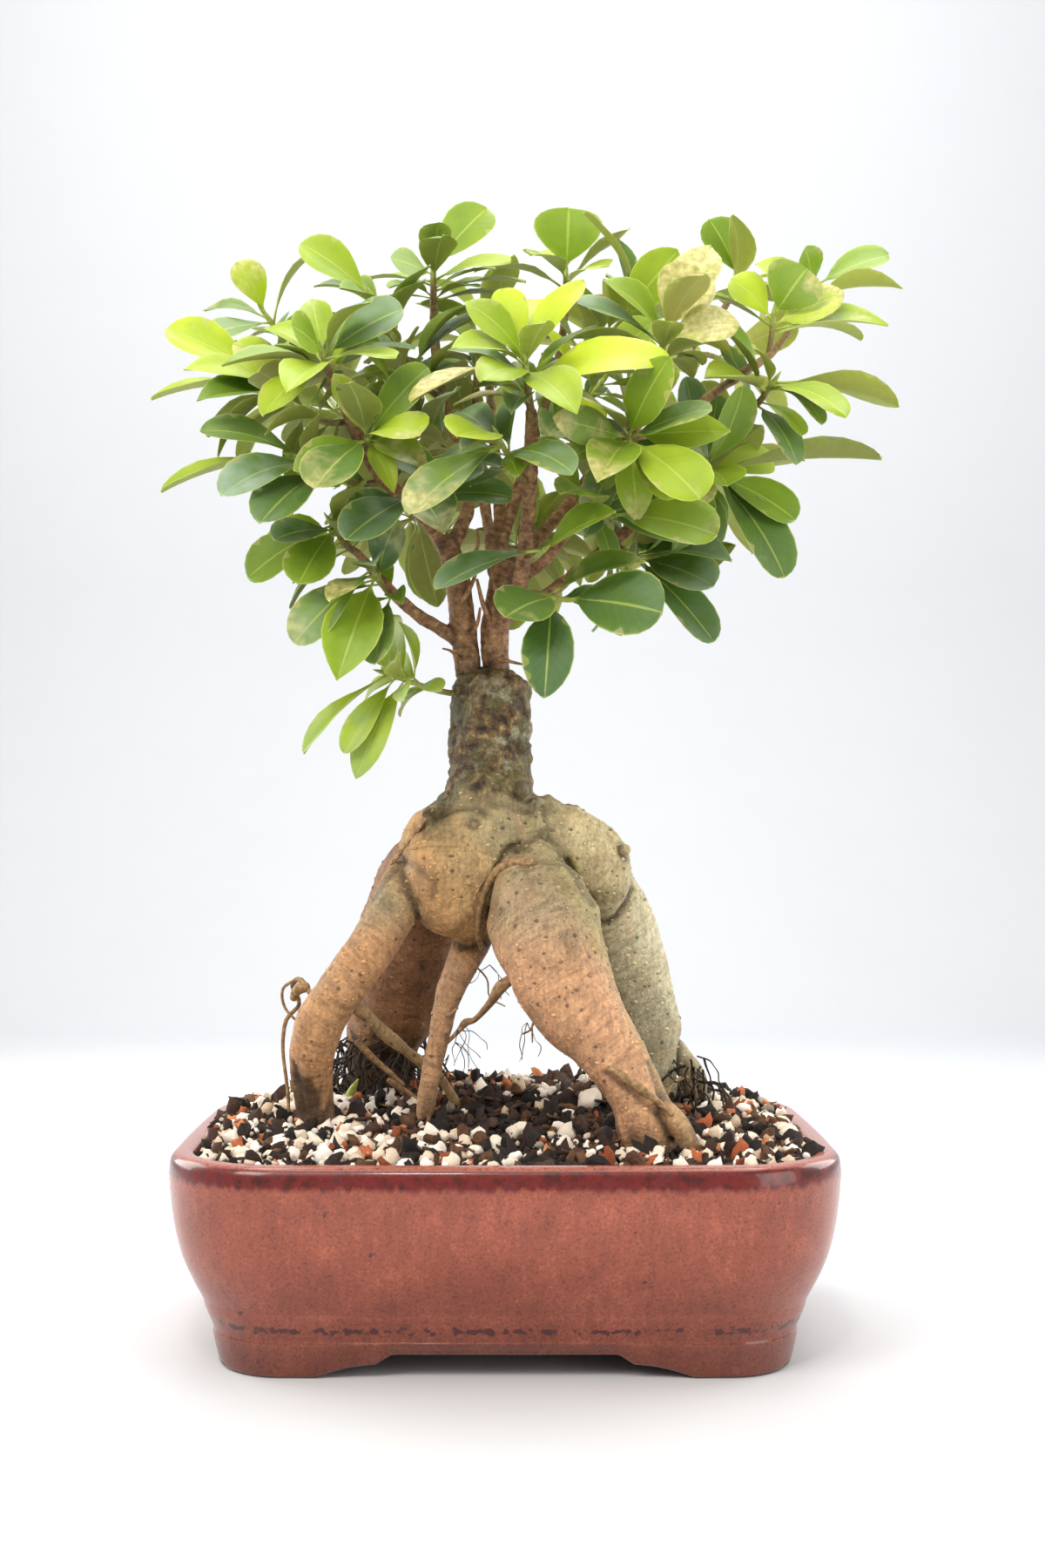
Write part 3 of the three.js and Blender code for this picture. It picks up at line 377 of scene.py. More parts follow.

# %% [markdown]
# ## The glaze
# The pot wears a reduction-fired red stoneware glaze. Where it lies thick it is a mottled pinkish
# brick red, under the lip it runs together into an oxblood band with violet tints, and on the
# rounded rim it is thin and milky, a paleness that is also a painted sheen. It broke into dark
# specks along the ledge above the feet. The lower wall and the feet are darkened as painted shade.
# All of this follows height and noise, so the colour is built from the object's own coordinates.

# %% Red reduction glaze and raw stoneware
def red_glaze():
    material, add, place = new_material("red_reduction_glaze_stoneware")
    height = add("SeparateXYZ", place).outputs["Z"]
    height = add("Math.MULTIPLY", height, 1 / MM)
    # Faint patches of about 14 mm, broken by grains of about 0.9 mm.
    patches = add("TexNoise", place, per(14), detail=3)
    grains = add("TexNoise", place, per(0.9), detail=2, roughness=0.7)
    drawn = add("Mapping", place, scale=(1.0, 1.0, 0.12))
    runs = add("TexNoise", drawn, per(2.2), detail=2)
    mixed = add("Math.MULTIPLY_ADD", patches, 0.4, 0.1)
    mixed = add("Math.MULTIPLY_ADD", grains, 0.7, mixed)
    mixed = add("Math.MULTIPLY_ADD", runs, 0.3, mixed)
    body = add("ValToRGB", mixed, stops=[(0.5, "602717"), (0.7, "873d27"), (0.86, "9c4b32"),
                                         (1.0, "b56148")])
    # Painted shade: the lower wall is darker towards the ledge, where it slopes away from the light.
    lower_wall_shade = add("MapRange", height, 14, 38, 0.72, 0.94)
    body = add("VectorMath.SCALE", body, lower_wall_shade)
    # Painted shade: the feet below the ledge are darker still.
    foot_shade = add("MapRange", height, 8, 14, 0.72)
    body = add("VectorMath.SCALE", body, foot_shade)
    # The edges of each band waver by a millimetre or two.
    waver = add("Math.MULTIPLY_ADD", runs, 5, -2.5)
    wavered = add("Math.ADD", height, waver)
    below = add("MapRange", wavered, 56.6, 58.4)
    above = add("MapRange", height, 62.8, 63.6, 1, 0)
    band = add("Math.MULTIPLY", below, above)
    violet = add("TexNoise", place, per(3.5), detail=3)
    oxblood = add("ValToRGB", violet, stops=[(0.35, "450a07"), (0.56, "6c130c"), (0.7, "521c20")])
    banded = add("Mix.RGBA", band, body, oxblood)
    # The rounded rim is paler: thin glaze, and a painted sheen.
    thin_rim_and_sheen = add("MapRange", height, 62.9, 63.8, 0, 0.85)
    rim = add("ValToRGB", grains, stops=[(0.35, "965044"), (0.65, "b9796b")])
    rimmed = add("Mix.RGBA", thin_rim_and_sheen, banded, rim)
    # Dark specks where the glaze broke along the ledge, and a few iron spots anywhere.
    ledge = add("MapRange", height, 12.6, 14.4)
    ledge_top = add("MapRange", height, 15.2, 16.8, 1, 0)
    on_ledge = add("Math.MULTIPLY", ledge, ledge_top)
    flecks = add("TexNoise", place, per(2.6), detail=4)
    lowered = add("Math.MULTIPLY_ADD", on_ledge, 0.2, flecks)
    spots = add("MapRange", lowered, 0.69, 0.74)
    specked = add("Mix.RGBA", spots, rimmed, "481014")
    relief = add("Math.MULTIPLY_ADD", grains, 0.3, patches)
    bump = add("Bump", height=relief, strength=0.25, distance=0.25 * MM)
    rough = add("MapRange", grains, 0.3, 0.7, 0.24, 0.42)
    add("OutputMaterial", add("BsdfPrincipled", base_color=specked, roughness=rough, ior=1.48,
                              normal=bump, coat_weight=0.5, coat_roughness=0.08))
    return material


# The unglazed clay under the pot is sandy and warm brown, made darker as painted shade for the shaded
# underside.
raw_stoneware = grainy("raw_stoneware_clay", 0.9, 3, [(0.35, "5a3f2f"), (0.65, "7b5a45")], 0.85, 0.4, 0.2)
coat(pot, red_glaze(), raw_stoneware)
# The glaze stops at the soles of the feet and on the underside between them.
for face in pot.data.polygons:
    middle = np.array(face.center) / MM - POT_MIDDLE
    unglazed = face.normal.z < -0.3 and (middle[2] < 0.3 or middle[2] < 10 and abs(middle[1]) < 52)
    face.material_index = 1 if unglazed else 0
finished(pot, "glazed_stoneware", "pot")

# %% Drain screens
# Black polypropylene mesh has the slight grain of its mould.
screen_finish = grainy("moulded_polypropylene_mesh", 0.5, 2, [(0.3, "15161a"), (0.7, "24262b")], 0.55,
                       0.2, 0.05)
for name in ("drain_screen_left", "drain_screen_right"):
    coat(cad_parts[name], screen_finish)
print("two drain screens are finished in place")

# %% [markdown]
# ## The limbs
# Roots and branches are round limbs that swell, taper and merge. Each is a list of stations with
# x, y, z and a radius, the same as in the frame. A smooth line through the stations is lofted with
# many sides, all limbs of a piece are merged by a voxel remesh, and a light smoothing rounds the
# creases where they meet, as living wood does. Afterwards each point of the skin is told which limb
# it is on and how far along it lies, because bark wrinkles run across a limb.

# %% Lofted limbs
FAR = 1e9
ROUND_END = 0.6


def limb(stations, sides, steps=5, blunt=ROUND_END, swell=0.0):
    """Points and faces of a limb with rounded ends. `swell` is its unevenness as a share of radius."""
    line = through(stations, steps)
    spots, radii = line[:, :3], line[:, 3]
    along = np.gradient(spots, axis=0)
    along /= norm(along, axis=1)[:, None]
    across = np.array([1.0, 0, 0]) if abs(along[0][1]) > 0.9 else np.array([0, 1.0, 0])
    angles = np.arange(sides) * 2 * np.pi / sides
    rings = []

    def ring_at(spot, axis, radius):
        nonlocal across
        across = across - axis * (across @ axis)
        across /= norm(across)
        up = np.cross(axis, across)
        turn = np.cos(angles)[:, None] * across + np.sin(angles)[:, None] * up
        if swell:
            reach = [radius * (1 + swell * fractal(spot + radius * t, 11, 2)) for t in turn]
        else:
            reach = np.full(sides, radius)
        rings.append(spot + turn * np.asarray(reach)[:, None])

    tips = [radians(a) for a in (72, 48, 24)]
    for tip in tips:
        ring_at(spots[0] - along[0] * radii[0] * ROUND_END * sin(tip), along[0], radii[0] * cos(tip))
    for spot, axis, radius in zip(spots, along, radii):
        ring_at(spot, axis, radius)
    for tip in reversed(tips):
        ring_at(spots[-1] + along[-1] * radii[-1] * blunt * sin(tip), along[-1],
                radii[-1] * cos(tip))
    return skin(rings, spots[0] - along[0] * radii[0] * ROUND_END,
                spots[-1] + along[-1] * radii[-1] * blunt)


def gathered(shapes):
    """One list of points and faces from several."""
    points, faces, start = [], [], 0
    for more, more_faces in shapes:
        points.append(more)
        faces += [tuple(i + start for i in face) for face in more_faces]
        start += len(more)
    return np.vstack(points), faces


def merged(name, shapes, voxel, smoothing):
    """The shapes as one skin, by a voxel remesh of that many mm and a light smoothing."""
    made = new_mesh(name, *gathered(shapes))
    remesh = made.modifiers.new("one skin", "REMESH")
    remesh.mode = "VOXEL"
    remesh.voxel_size = voxel * MM
    remesh.use_smooth_shade = True
    soften = made.modifiers.new("soft creases", "SMOOTH")
    soften.factor = 0.5
    soften.iterations = smoothing
    return applied(made)


def nearest_limbs(points, limbs):
    """For each point: the nearest limb, the mm along it, how much further the next is, and which."""
    best = np.full(len(points), FAR)
    second = np.full(len(points), FAR)
    index = np.zeros(len(points), int)
    other = np.zeros(len(points), int)
    along = np.zeros(len(points))
    for number, stations in enumerate(limbs):
        own = np.full(len(points), FAR)
        own_along = np.zeros(len(points))
        passed = 0.0
        stations = np.asarray(stations, float)
        for a, b in zip(stations, stations[1:]):
            length = norm(b[:3] - a[:3])
            share = np.clip((points - a[:3]) @ (b[:3] - a[:3]) / length ** 2, 0, 1)
            spot = a[:3] + share[:, None] * (b[:3] - a[:3])
            gap = norm(points - spot, axis=1) - (a[3] + share * (b[3] - a[3]))
            nearer = gap < own
            own_along = np.where(nearer, passed + share * length, own_along)
            own = np.minimum(own, gap)
            passed += length
        nearer = own < best
        other = np.where(nearer, index, np.where(own < second, number, other))
        second = np.where(nearer, best, np.minimum(second, own))
        index = np.where(nearer, number, index)
        along = np.where(nearer, own_along, along)
        best = np.minimum(best, own)
    return index, along, second - best, other


# %% [markdown]
# ## The rootstock
# The fig was raised from seed and its swollen roots were lifted out of the soil year by year, so
# they stand as bare legs. The trunk above them was cut flat for the grafts. All of it is one living
# piece: the stations below are merged into one skin, and the skin then gets shallow lumps, folds
# along the creases and rough bark on the trunk.

# %% Roots and trunk
ROOTS = {
    "trunk": [(-6, 2, 146, 14), (-6, 2, 156, 19), (-5.5, 3, 165, 17.6), (-5, 4, 173.5, 14.4),
        (-5, 4, 182, 12.8), (-5, 4, 192, 12.6), (-4.5, 4, 202, 12.6), (-4.5, 4, 207.5, 11.8),
        (-4.5, 4, 210, 8.5)],
    "belly": [(-14, 0, 163, 10), (-19, -5, 154.5, 14.5), (-18.5, -8, 144.5, 16.4), (-16, -9, 136, 13.2),
        (-12, -7, 129, 7)],
    "chest": [(-6, 0, 172, 12), (-7, -3, 164, 14), (-9, -6, 156, 15), (-11, -8.5, 148, 13.5),
        (-12, -9, 141, 10)],
    "left_front_leg": [(-22, -4, 152, 7), (-30, -9, 144, 8), (-36, -14, 133, 7.8),
        (-43, -18, 121.5, 7.6), (-51.5, -19, 110, 7.4), (-58.5, -17, 98.5, 7.6), (-61, -13, 88, 7),
        (-61, -9, 78, 6.3), (-60, -7, 68, 6.2), (-59, -6, 54, 5)],
    "left_rear_leg": [(-22, 8, 154, 10), (-28, 16, 144, 13.5), (-31, 24, 130, 17), (-34, 30, 115, 17.6),
        (-38, 35, 100, 16.2), (-42, 40, 88, 13), (-43, 41, 79, 11.4), (-43, 42, 69, 11.6),
        (-43, 42, 54, 9)],
    "web": [(-4, 0, 146, 8), (-4, -1, 136, 7), (-5, -2, 127, 5)],
    "neck": [(8, -1, 164, 8), (10.5, -6, 158, 7.4), (11.5, -12, 151, 7.6), (11, -17, 144, 8)],
    "right_front_leg": [(8, -8, 150, 6), (9, -14, 143.5, 13), (11.5, -20, 133, 17.2),
        (15.5, -26, 120.5, 16.4), (21, -30, 107.5, 14), (29, -33, 96, 11.2), (35.5, -35, 87, 9.4),
        (40, -36, 78.5, 8.9), (43.5, -36, 69, 9.6), (46, -36, 55, 8)],
    "right_toe": [(44, -38, 78, 4), (50, -42, 73, 3.8), (54, -45, 68, 3.2), (57, -47, 58, 2.4)],
    "right_shoulder": [(4, 2, 163, 10), (15, 2, 157.5, 12), (26, 3, 150.5, 13), (31, 4, 143, 11),
        (31, 5, 137, 7)],
    "right_rear_leg": [(24, 10, 152, 9), (32.5, 15, 138, 12), (39.5, 19, 122, 12.4),
        (45, 21, 106, 11.4), (49, 22, 92, 9.8), (51, 22, 82, 7), (52, 22, 71, 5.4),
        (52.5, 22, 56, 4.4)],
    "right_foot": [(51, 23, 92, 5), (58, 25, 84, 4.2), (63, 26, 77, 4.2), (64.5, 26, 69, 3.8),
        (65.5, 26, 56, 3)],
    "middle": [(-8, 2, 129, 7), (-12.5, -2, 120, 5.6), (-17.5, -6, 108, 4.6), (-21, -8, 94, 3.9),
        (-24, -8, 81.5, 3.4), (-25.5, -8, 68, 3.1), (-26, -8, 56, 2.6)],
    "cross": [(-52, -17, 111, 3.4), (-44, -8, 100, 2.3), (-33, 0, 89, 2), (-22, 5, 79.5, 2),
        (-15, 7, 68, 1.9), (-12, 8, 57, 1.6)],
    "knot": [(1, -4, 174, 4), (4.5, -11, 174.5, 3.6), (5.5, -13.5, 174.5, 2.4)],
    "shoulder_knob": [(33, 0, 151.5, 3), (38, -2, 153.2, 2), (39.5, -3, 153.6, 1.6)],
}
ROOT_VOXEL = 0.86
shapes = [limb(stations, 40 if max(s[3] for s in stations) > 6.5 else 16,
               blunt=0.25 if name == "trunk" else ROUND_END, swell=0.05)
          for name, stations in ROOTS.items()]
rootstock = merged("fig_rootstock", shapes, ROOT_VOXEL, 6)

# %% Folds and scars of the rootstock
# Each is a line on the front, as x and z in mm, with its width, its depth (raised where negative) and
# how dark its painted shade is.
FOLDS = [
    (1.1, 0.9, 0.5, [(-7, 170.2), (-1.4, 168.3), (3.3, 166.1), (7.7, 165.8), (9.6, 167.2)]),
    (1.3, 1.0, 0.8, [(-27, 160.4), (-22, 164.4), (-16.5, 166.1), (-9.6, 166.9), (-6.3, 165)]),
    (1.3, 1.0, 0.7, [(12.1, 167.2), (13.5, 161.9), (15.7, 157.3), (18.7, 150.9), (23, 143), (27, 137)]),
    (1.2, 0.9, 0.6, [(-34, 151), (-29, 148.4), (-24.8, 145.7), (-22.3, 143), (-22.8, 138.5)]),
    (1.0, 0.8, 0.6, [(4, 153.5), (8.8, 157.8), (12.4, 159.2), (15.4, 156.2)]),
    (0.9, 0.5, 0.4, [(5, 148.6), (11, 150.1), (17.5, 148.6)]),
    (1.1, -0.6, 0.0, [(-17, 176), (-12.4, 174.9), (-8, 176.5)]),
    (1.1, 1.0, 0.7, [(-32, 150.4), (-36.6, 145.4), (-42, 138)]),
    (1.4, -1.3, 0.0, [(31.5, 88.6), (38, 83.9), (43.1, 79.6), (49.2, 75.6)]),
    (0.9, 0.9, 0.7, [(30.5, 86.2), (37, 81.2), (42, 77), (47, 73.6)]),
    (1.2, -0.8, 0.0, [(31.1, 89.5), (36.7, 92), (41.2, 93)]),
    (0.9, 0.9, 0.7, [(43.9, 89.2), (45.8, 83.4), (47.1, 77.5)]),
    (1.0, 0.6, 0.3, [(-54, 106), (-49, 103.5), (-44.5, 104)]),
    (1.2, 0.9, 0.9, [(-66, 86), (-64.5, 78), (-63.5, 70)]),
]
# Knots where small branches were cut off: each is a low dome inside a ring.
KNOTS = ((6, 171.8, 2.9), (12.7, 159.2, 1.7), (5.8, 186.7, 2.2), (-9.8, 161.6, 1.5))
for x, z, radius in KNOTS:
    circle = [(x + radius * cos(a), z + radius * sin(a)) for a in np.linspace(0, 2 * pi, 13)]
    FOLDS.append((0.8, 0.9, 0.8, circle))


def fold_push(points, facing):
    """How deep each point of the skin is by the folds near it, and how dark their painted shade makes it.
    """
    push, dark = np.zeros(len(points)), np.zeros(len(points))
    flat = points[:, [0, 2]]
    front = smoothstep(0.25, -0.25, facing[:, 1]) * (points[:, 1] < 8)
    for width, depth, shade, line in FOLDS:
        away = np.full(len(points), FAR)
        for a, b in zip(np.array(line), np.array(line[1:])):
            share = np.clip((flat - a) @ (b - a) / ((b - a) @ (b - a)), 0, 1)
            away = np.minimum(away, norm(flat - a - share[:, None] * (b - a), axis=1))
        near = np.exp(-((away / width) ** 2)) * front
        push -= depth * near
        dark = np.maximum(dark, shade * near)
    for x, z, radius in KNOTS:
        away = norm(flat - (x, z), axis=1) / radius
        push += 0.5 * radius * np.exp(-((away / 0.75) ** 2)) * front
    return push, dark


# %% Lumps, creases and bark on the rootstock
ROOT_NAMES = list(ROOTS)
TRUNK_FOOT = 161
MERGING = [{"trunk", "belly", "chest", "neck", "web", "right_shoulder", "knot"},
           {"neck", "web", "right_front_leg"}, {"left_front_leg", "left_rear_leg"}]
skin_points = points_of(rootstock)
limb_index, limb_along, second_gap, second_index = nearest_limbs(skin_points, ROOTS.values())
# Where two limbs have grown into one there is no crease between them.
grown = np.array([[any({a, b} <= group for group in MERGING) for b in ROOT_NAMES] for a in ROOT_NAMES])
crease = (1 - smoothstep(0, 2.2, second_gap)) * np.where(grown[limb_index, second_index], 0.0, 1.0)
rough_foot = np.clip(-12 - skin_points[:, 0], 0, 9)
ragged = fractal_of(skin_points, 6, 3)
on_trunk = smoothstep(TRUNK_FOOT, TRUNK_FOOT + 16, skin_points[:, 2] + rough_foot + 7 * ragged)
on_trunk = on_trunk * (np.abs(skin_points[:, 0]) < 26)
lumps = fractal_of(skin_points, 15)
bark = fractal_of(skin_points * (1, 1, 0.7), 4.2, 3)
facing = corners(rootstock, "normal")
fold_depth, fold_dark = fold_push(skin_points, facing)
push = 0.7 * lumps - 0.8 * crease * (1 - on_trunk) + on_trunk * (1.5 * bark + 0.2) + fold_depth
warty = np.isin(limb_index, [ROOT_NAMES.index(name) for name in MERGING[0] if name != "trunk"])
push += (1 - on_trunk) * (0.2 + 0.3 * warty) * bark
set_points(rootstock, skin_points + facing * push[:, None])
# The crease value is painted shade for the creases and folds.
for name, values in (("crease", np.maximum(crease * (1 - 0.5 * on_trunk), fold_dark)),
                     ("mossy", on_trunk), ("along", limb_along)):
    store(rootstock, name, values)


# The two tones that each limb is mottled in, darkest first.
# The right rear leg and right shoulder are paler partly as painted light on their lit right side.
LIMB_TONES = {"left_rear_leg": ("6c4a30", "946c49"), "right_rear_leg": ("a6a184", "c6bd9a"),
              "right_foot": ("8d8260", "9c9170"), "right_toe": ("987a54", "b39063"),
              "right_shoulder": ("a89a72", "c8b88e"), "middle": ("a07a58", "b38c66"),
              "cross": ("94784f", "ad9168"), "left_front_leg": ("9f7a52", "b98a60"),
              "belly": ("9e7a4c", "b88b59"), "right_front_leg": ("b28964", "d09e78")}
OTHER_TONES = ("93855d", "a8976f")


def towards(tint, code, share):
    return tint + (np.array(colour(code)[:3]) - tint) * share


def root_tint(point, name):
    """The broad colour of the skin: tan on the left, greyer on the right, dark where soil held it."""
    x, y, z = point
    low, high = LIMB_TONES.get(name, OTHER_TONES)
    tint = towards(np.array(colour(low)[:3]), high, 0.5 + 0.5 * fractal((x, y, z), 22, 2))
    # The front legs are grey-green at the top, and the right one is olive along its outer edge.
    greyed = {"left_front_leg": smoothstep(124, 138, z), "right_front_leg": smoothstep(114, 138, z),
              "neck": 0.6, "chest": 0.4 * smoothstep(150, 166, z)}.get(name, 0)
    tint = towards(tint, "857f62", 0.75 * greyed)
    if name == "right_front_leg":
        tint = towards(tint, "9b9259", 0.6 * smoothstep(5, 13, x - 9 - 0.47 * (144 - z)))
    # Feet that stood deep in wet soil are stained dark.
    stain_top = {"left_front_leg": max(92 - 1.1 * (x + 67), 79), "left_rear_leg": 93, "right_toe": 76,
                 "middle": 74, "right_front_leg": 73}.get(name, 71)
    stain = 1 - smoothstep(stain_top - 9, stain_top, z + 10 * fractal((x * 3, y * 3, z), 12, 3))
    return towards(tint, "3b2a1a", stain * (0.9 if name in ("left_front_leg", "left_rear_leg") else 0.6))


# Near the join of two limbs the tone passes over from one to the other.
share = 0.5 * (1 - smoothstep(0, 9, second_gap))
tints = np.ones((len(skin_points), 4))
for i, point in enumerate(skin_points):
    own, other = (root_tint(point, ROOT_NAMES[number]) for number in (limb_index[i], second_index[i]))
    tints[i, :3] = own + (other - own) * share[i]
store(rootstock, "tint", tints, "FLOAT_COLOR")
print("rootstock skin:", len(skin_points), "points")

# %% [markdown]
# ## Root skin and old bark
# Young fig root that has seen light for a few years has a thin smooth skin: tan to grey-green, with
# fine wrinkles across the limb and pale corky pores, the lenticels, about a millimetre wide. The old
# trunk is rough and carries moss and blue-grey lichen. The broad colours were stored on the points,
# and the material adds what is finer: wrinkles from the distance along the limb, pores from a
# Voronoi pattern with a painted shadow round each, painted shade in the creases, and painted light
# on the right of the old trunk.

# %% Root skin material
def round_limb(add, place, along, size, apart):
    """Coordinates for marks that run round a limb, that many mm long and that many apart along it."""
    spot = add("VectorMath.MULTIPLY", place, (per(size),) * 3)
    across = add("Math.MULTIPLY", along, 1 / apart)
    return add("VectorMath.ADD", spot, add("CombineXYZ", z=across))


def root_skin():
    material, add, place = new_material("fig_root_skin_and_bark")
    tint = add("Attribute", attribute_name="tint").outputs["Color"]
    dark, mossy, along = (add("Attribute", attribute_name=name).outputs["Fac"]
                          for name in ("crease", "mossy", "along"))
    # Wrinkles: noise that is stretched round the limb and tight along it, about 1.4 mm apart.
    wrapped = round_limb(add, place, along, 7, 1.4)
    wrinkles = add("TexNoise", wrapped, 1, detail=3, roughness=0.6)
    grain = add("TexNoise", place, per(1.1), detail=3, roughness=0.65)
    patches = add("TexNoise", place, per(8), detail=3)
    lines = add("MapRange", wrinkles, 0.32, 0.58, 0.68, 1.1)
    shade = add("MapRange", grain, 0.3, 0.7, 0.74, 1.26)
    # Scratches run down the limbs, where the skin stretched as the root grew.
    drawn = add("Mapping", place, scale=(1.0, 1.0, 0.2))
    streaks = add("TexNoise", drawn, per(1.3), detail=3)
    scratched = add("MapRange", streaks, 0.35, 0.62, 0.84, 1.12)
    shaded = add("Math.MULTIPLY", lines, shade)
    shaded = add("Math.MULTIPLY", shaded, scratched)
    skin_colour = add("VectorMath.SCALE", tint, shaded)
    rosy = add("MapRange", patches, 0.52, 0.7, 0, 0.35)
    skin_colour = add("Mix.RGBA", rosy, skin_colour, "b08a66")
    # Lenticels: corky dots, 2 to 4 mm apart, paler than the skin or dark pits, each in a dark ring that
    # is a painted shadow, as if raised.
    cells = add("TexVoronoi", place, per(2.2), randomness=1)
    chosen = add("SeparateColor", cells.outputs["Color"])
    size = add("MapRange", chosen.outputs["Red"], 0.3, 1, 0, 0.3)
    dot = add("Math.SUBTRACT", size, cells.outputs["Distance"])
    ring = add("MapRange", dot, -0.16, -0.04)
    dot = add("MapRange", dot, 0, 0.05)
    pit = add("Math.GREATER_THAN", chosen.outputs["Green"], 0.72)
    cork = add("MapRange", pit, 0, 1, 1.5, 0.4)
    cork = add("VectorMath.SCALE", skin_colour, cork)
    ring = add("MapRange", ring, 0, 1, 1, 0.76)
    skin_colour = add("VectorMath.SCALE", skin_colour, ring)
    smooth = add("Math.SUBTRACT", 1, mossy)
    dots = add("Math.MULTIPLY", dot, smooth)
    skin_colour = add("Mix.RGBA", dots, skin_colour, cork)
    # Old bark: brown plates, olive moss, and lichen that is blue-grey.
    plates = add("TexNoise", place, per(3.6), detail=5, roughness=0.7)
    old = add("ValToRGB", plates, stops=[(0.36, "1e150d"), (0.46, "4b3822"), (0.56, "6e5937"),
                                         (0.67, "a58f61")])
    moss_at = add("TexNoise", place, per(10), detail=4)
    mossed = add("MapRange", moss_at, 0.47, 0.6, 0, 0.75)
    moss = add("ValToRGB", grain, stops=[(0.3, "38351e"), (0.7, "757146")])
    old = add("Mix.RGBA", mossed, old, moss)
    shifted = add("Mapping", place, location=(0.13, 0.07, 0.03))
    lichen_at = add("TexNoise", shifted, per(7), detail=5, roughness=0.62)
    crust = add("MapRange", lichen_at, 0.54, 0.63, 0, 0.7)
    facing_right = add("SeparateXYZ", place).outputs["X"]
    facing_right = add("MapRange", facing_right, -0.024, -0.008, 0.35)
    crust = add("Math.MULTIPLY", crust, facing_right)
    lichen = add("ValToRGB", grain, stops=[(0.3, "706d58"), (0.7, "bab496")])
    old = add("Mix.RGBA", crust, old, lichen)
    # Painted light: the old bark is lighter towards the right, where more light falls on it.
    painted_light_right = add("MapRange", facing_right, 0.35, 1, 0.84, 1.12)
    old = add("VectorMath.SCALE", old, painted_light_right)
    both = add("Mix.RGBA", mossy, skin_colour, old)
    # Painted shade darkens the creases between limbs and the folds.
    crease_shade = add("Math.MULTIPLY", dark, 0.8)
    both = add("Mix.RGBA", crease_shade, both, "3d2f1e")
    relief = add("Math.MULTIPLY_ADD", wrinkles, 0.8, grain)
    relief = add("Math.MULTIPLY_ADD", dots, 0.9, relief)
    rough = add("Math.MULTIPLY", plates, mossy)
    relief = add("Math.MULTIPLY_ADD", rough, 3.6, relief)
    bump = add("Bump", height=relief, strength=0.8, distance=0.5 * MM)
    add("OutputMaterial", add("BsdfPrincipled", base_color=both, roughness=0.62, normal=bump, ior=1.45))
    return material


coat(rootstock, root_skin())
finished(rootstock, "fig_root_bark", "rootstock")

# %% [markdown]
# ## The scions
# Two short thick stems of a small-leaved fig were set into the trunk's top and have grown woody
# branches. They are limbs like the roots, only finer, so they are merged in the same way with a
# smaller voxel. Their bark is reddish brown, and greener and smoother towards the young ends.

# %% Branches
LEFT_SCION = {
    "left_stem": [(-10.8, 3.5, 203, 3.9), (-11.8, 3, 211, 4.1), (-13, 3, 220, 4.3), (-14, 2, 228, 4.3),
        (-15, 1, 237, 4.2), (-17, 0, 246.5, 4), (-19, -1, 252, 3.4)],
    "left_reach": [(-17, 0, 248, 3.2), (-22, -2, 256, 2.8), (-28, -5, 262, 2.5), (-34, -9, 267, 2.4),
        (-41, -14, 274, 2.3), (-46, -19, 283, 2.1), (-50, -23, 292, 1.9), (-54, -26, 300, 1.6)],
    "left_up": [(-18, 0, 250, 3), (-14, 4, 259, 2.4), (-12, 8, 267, 2.1), (-14, 13, 283, 2),
        (-20, 18, 301, 1.8), (-23, 22, 318, 1.7), (-24, 23, 336, 1.4)],
    "left_low": [(-14, 3, 221, 2.8), (-21, 1, 225, 2.3), (-28, -1, 229, 2.1), (-34, -4, 234, 1.9),
        (-40, -6, 240, 1.7), (-47, -9, 248, 1.4)],
    "left_back": [(-15, 1, 240, 3), (-20, 12, 252, 2.3), (-30, 28, 270, 2.2), (-46, 38, 294, 2),
        (-62, 38, 314, 1.8), (-72, 33, 325, 1.4)],
}
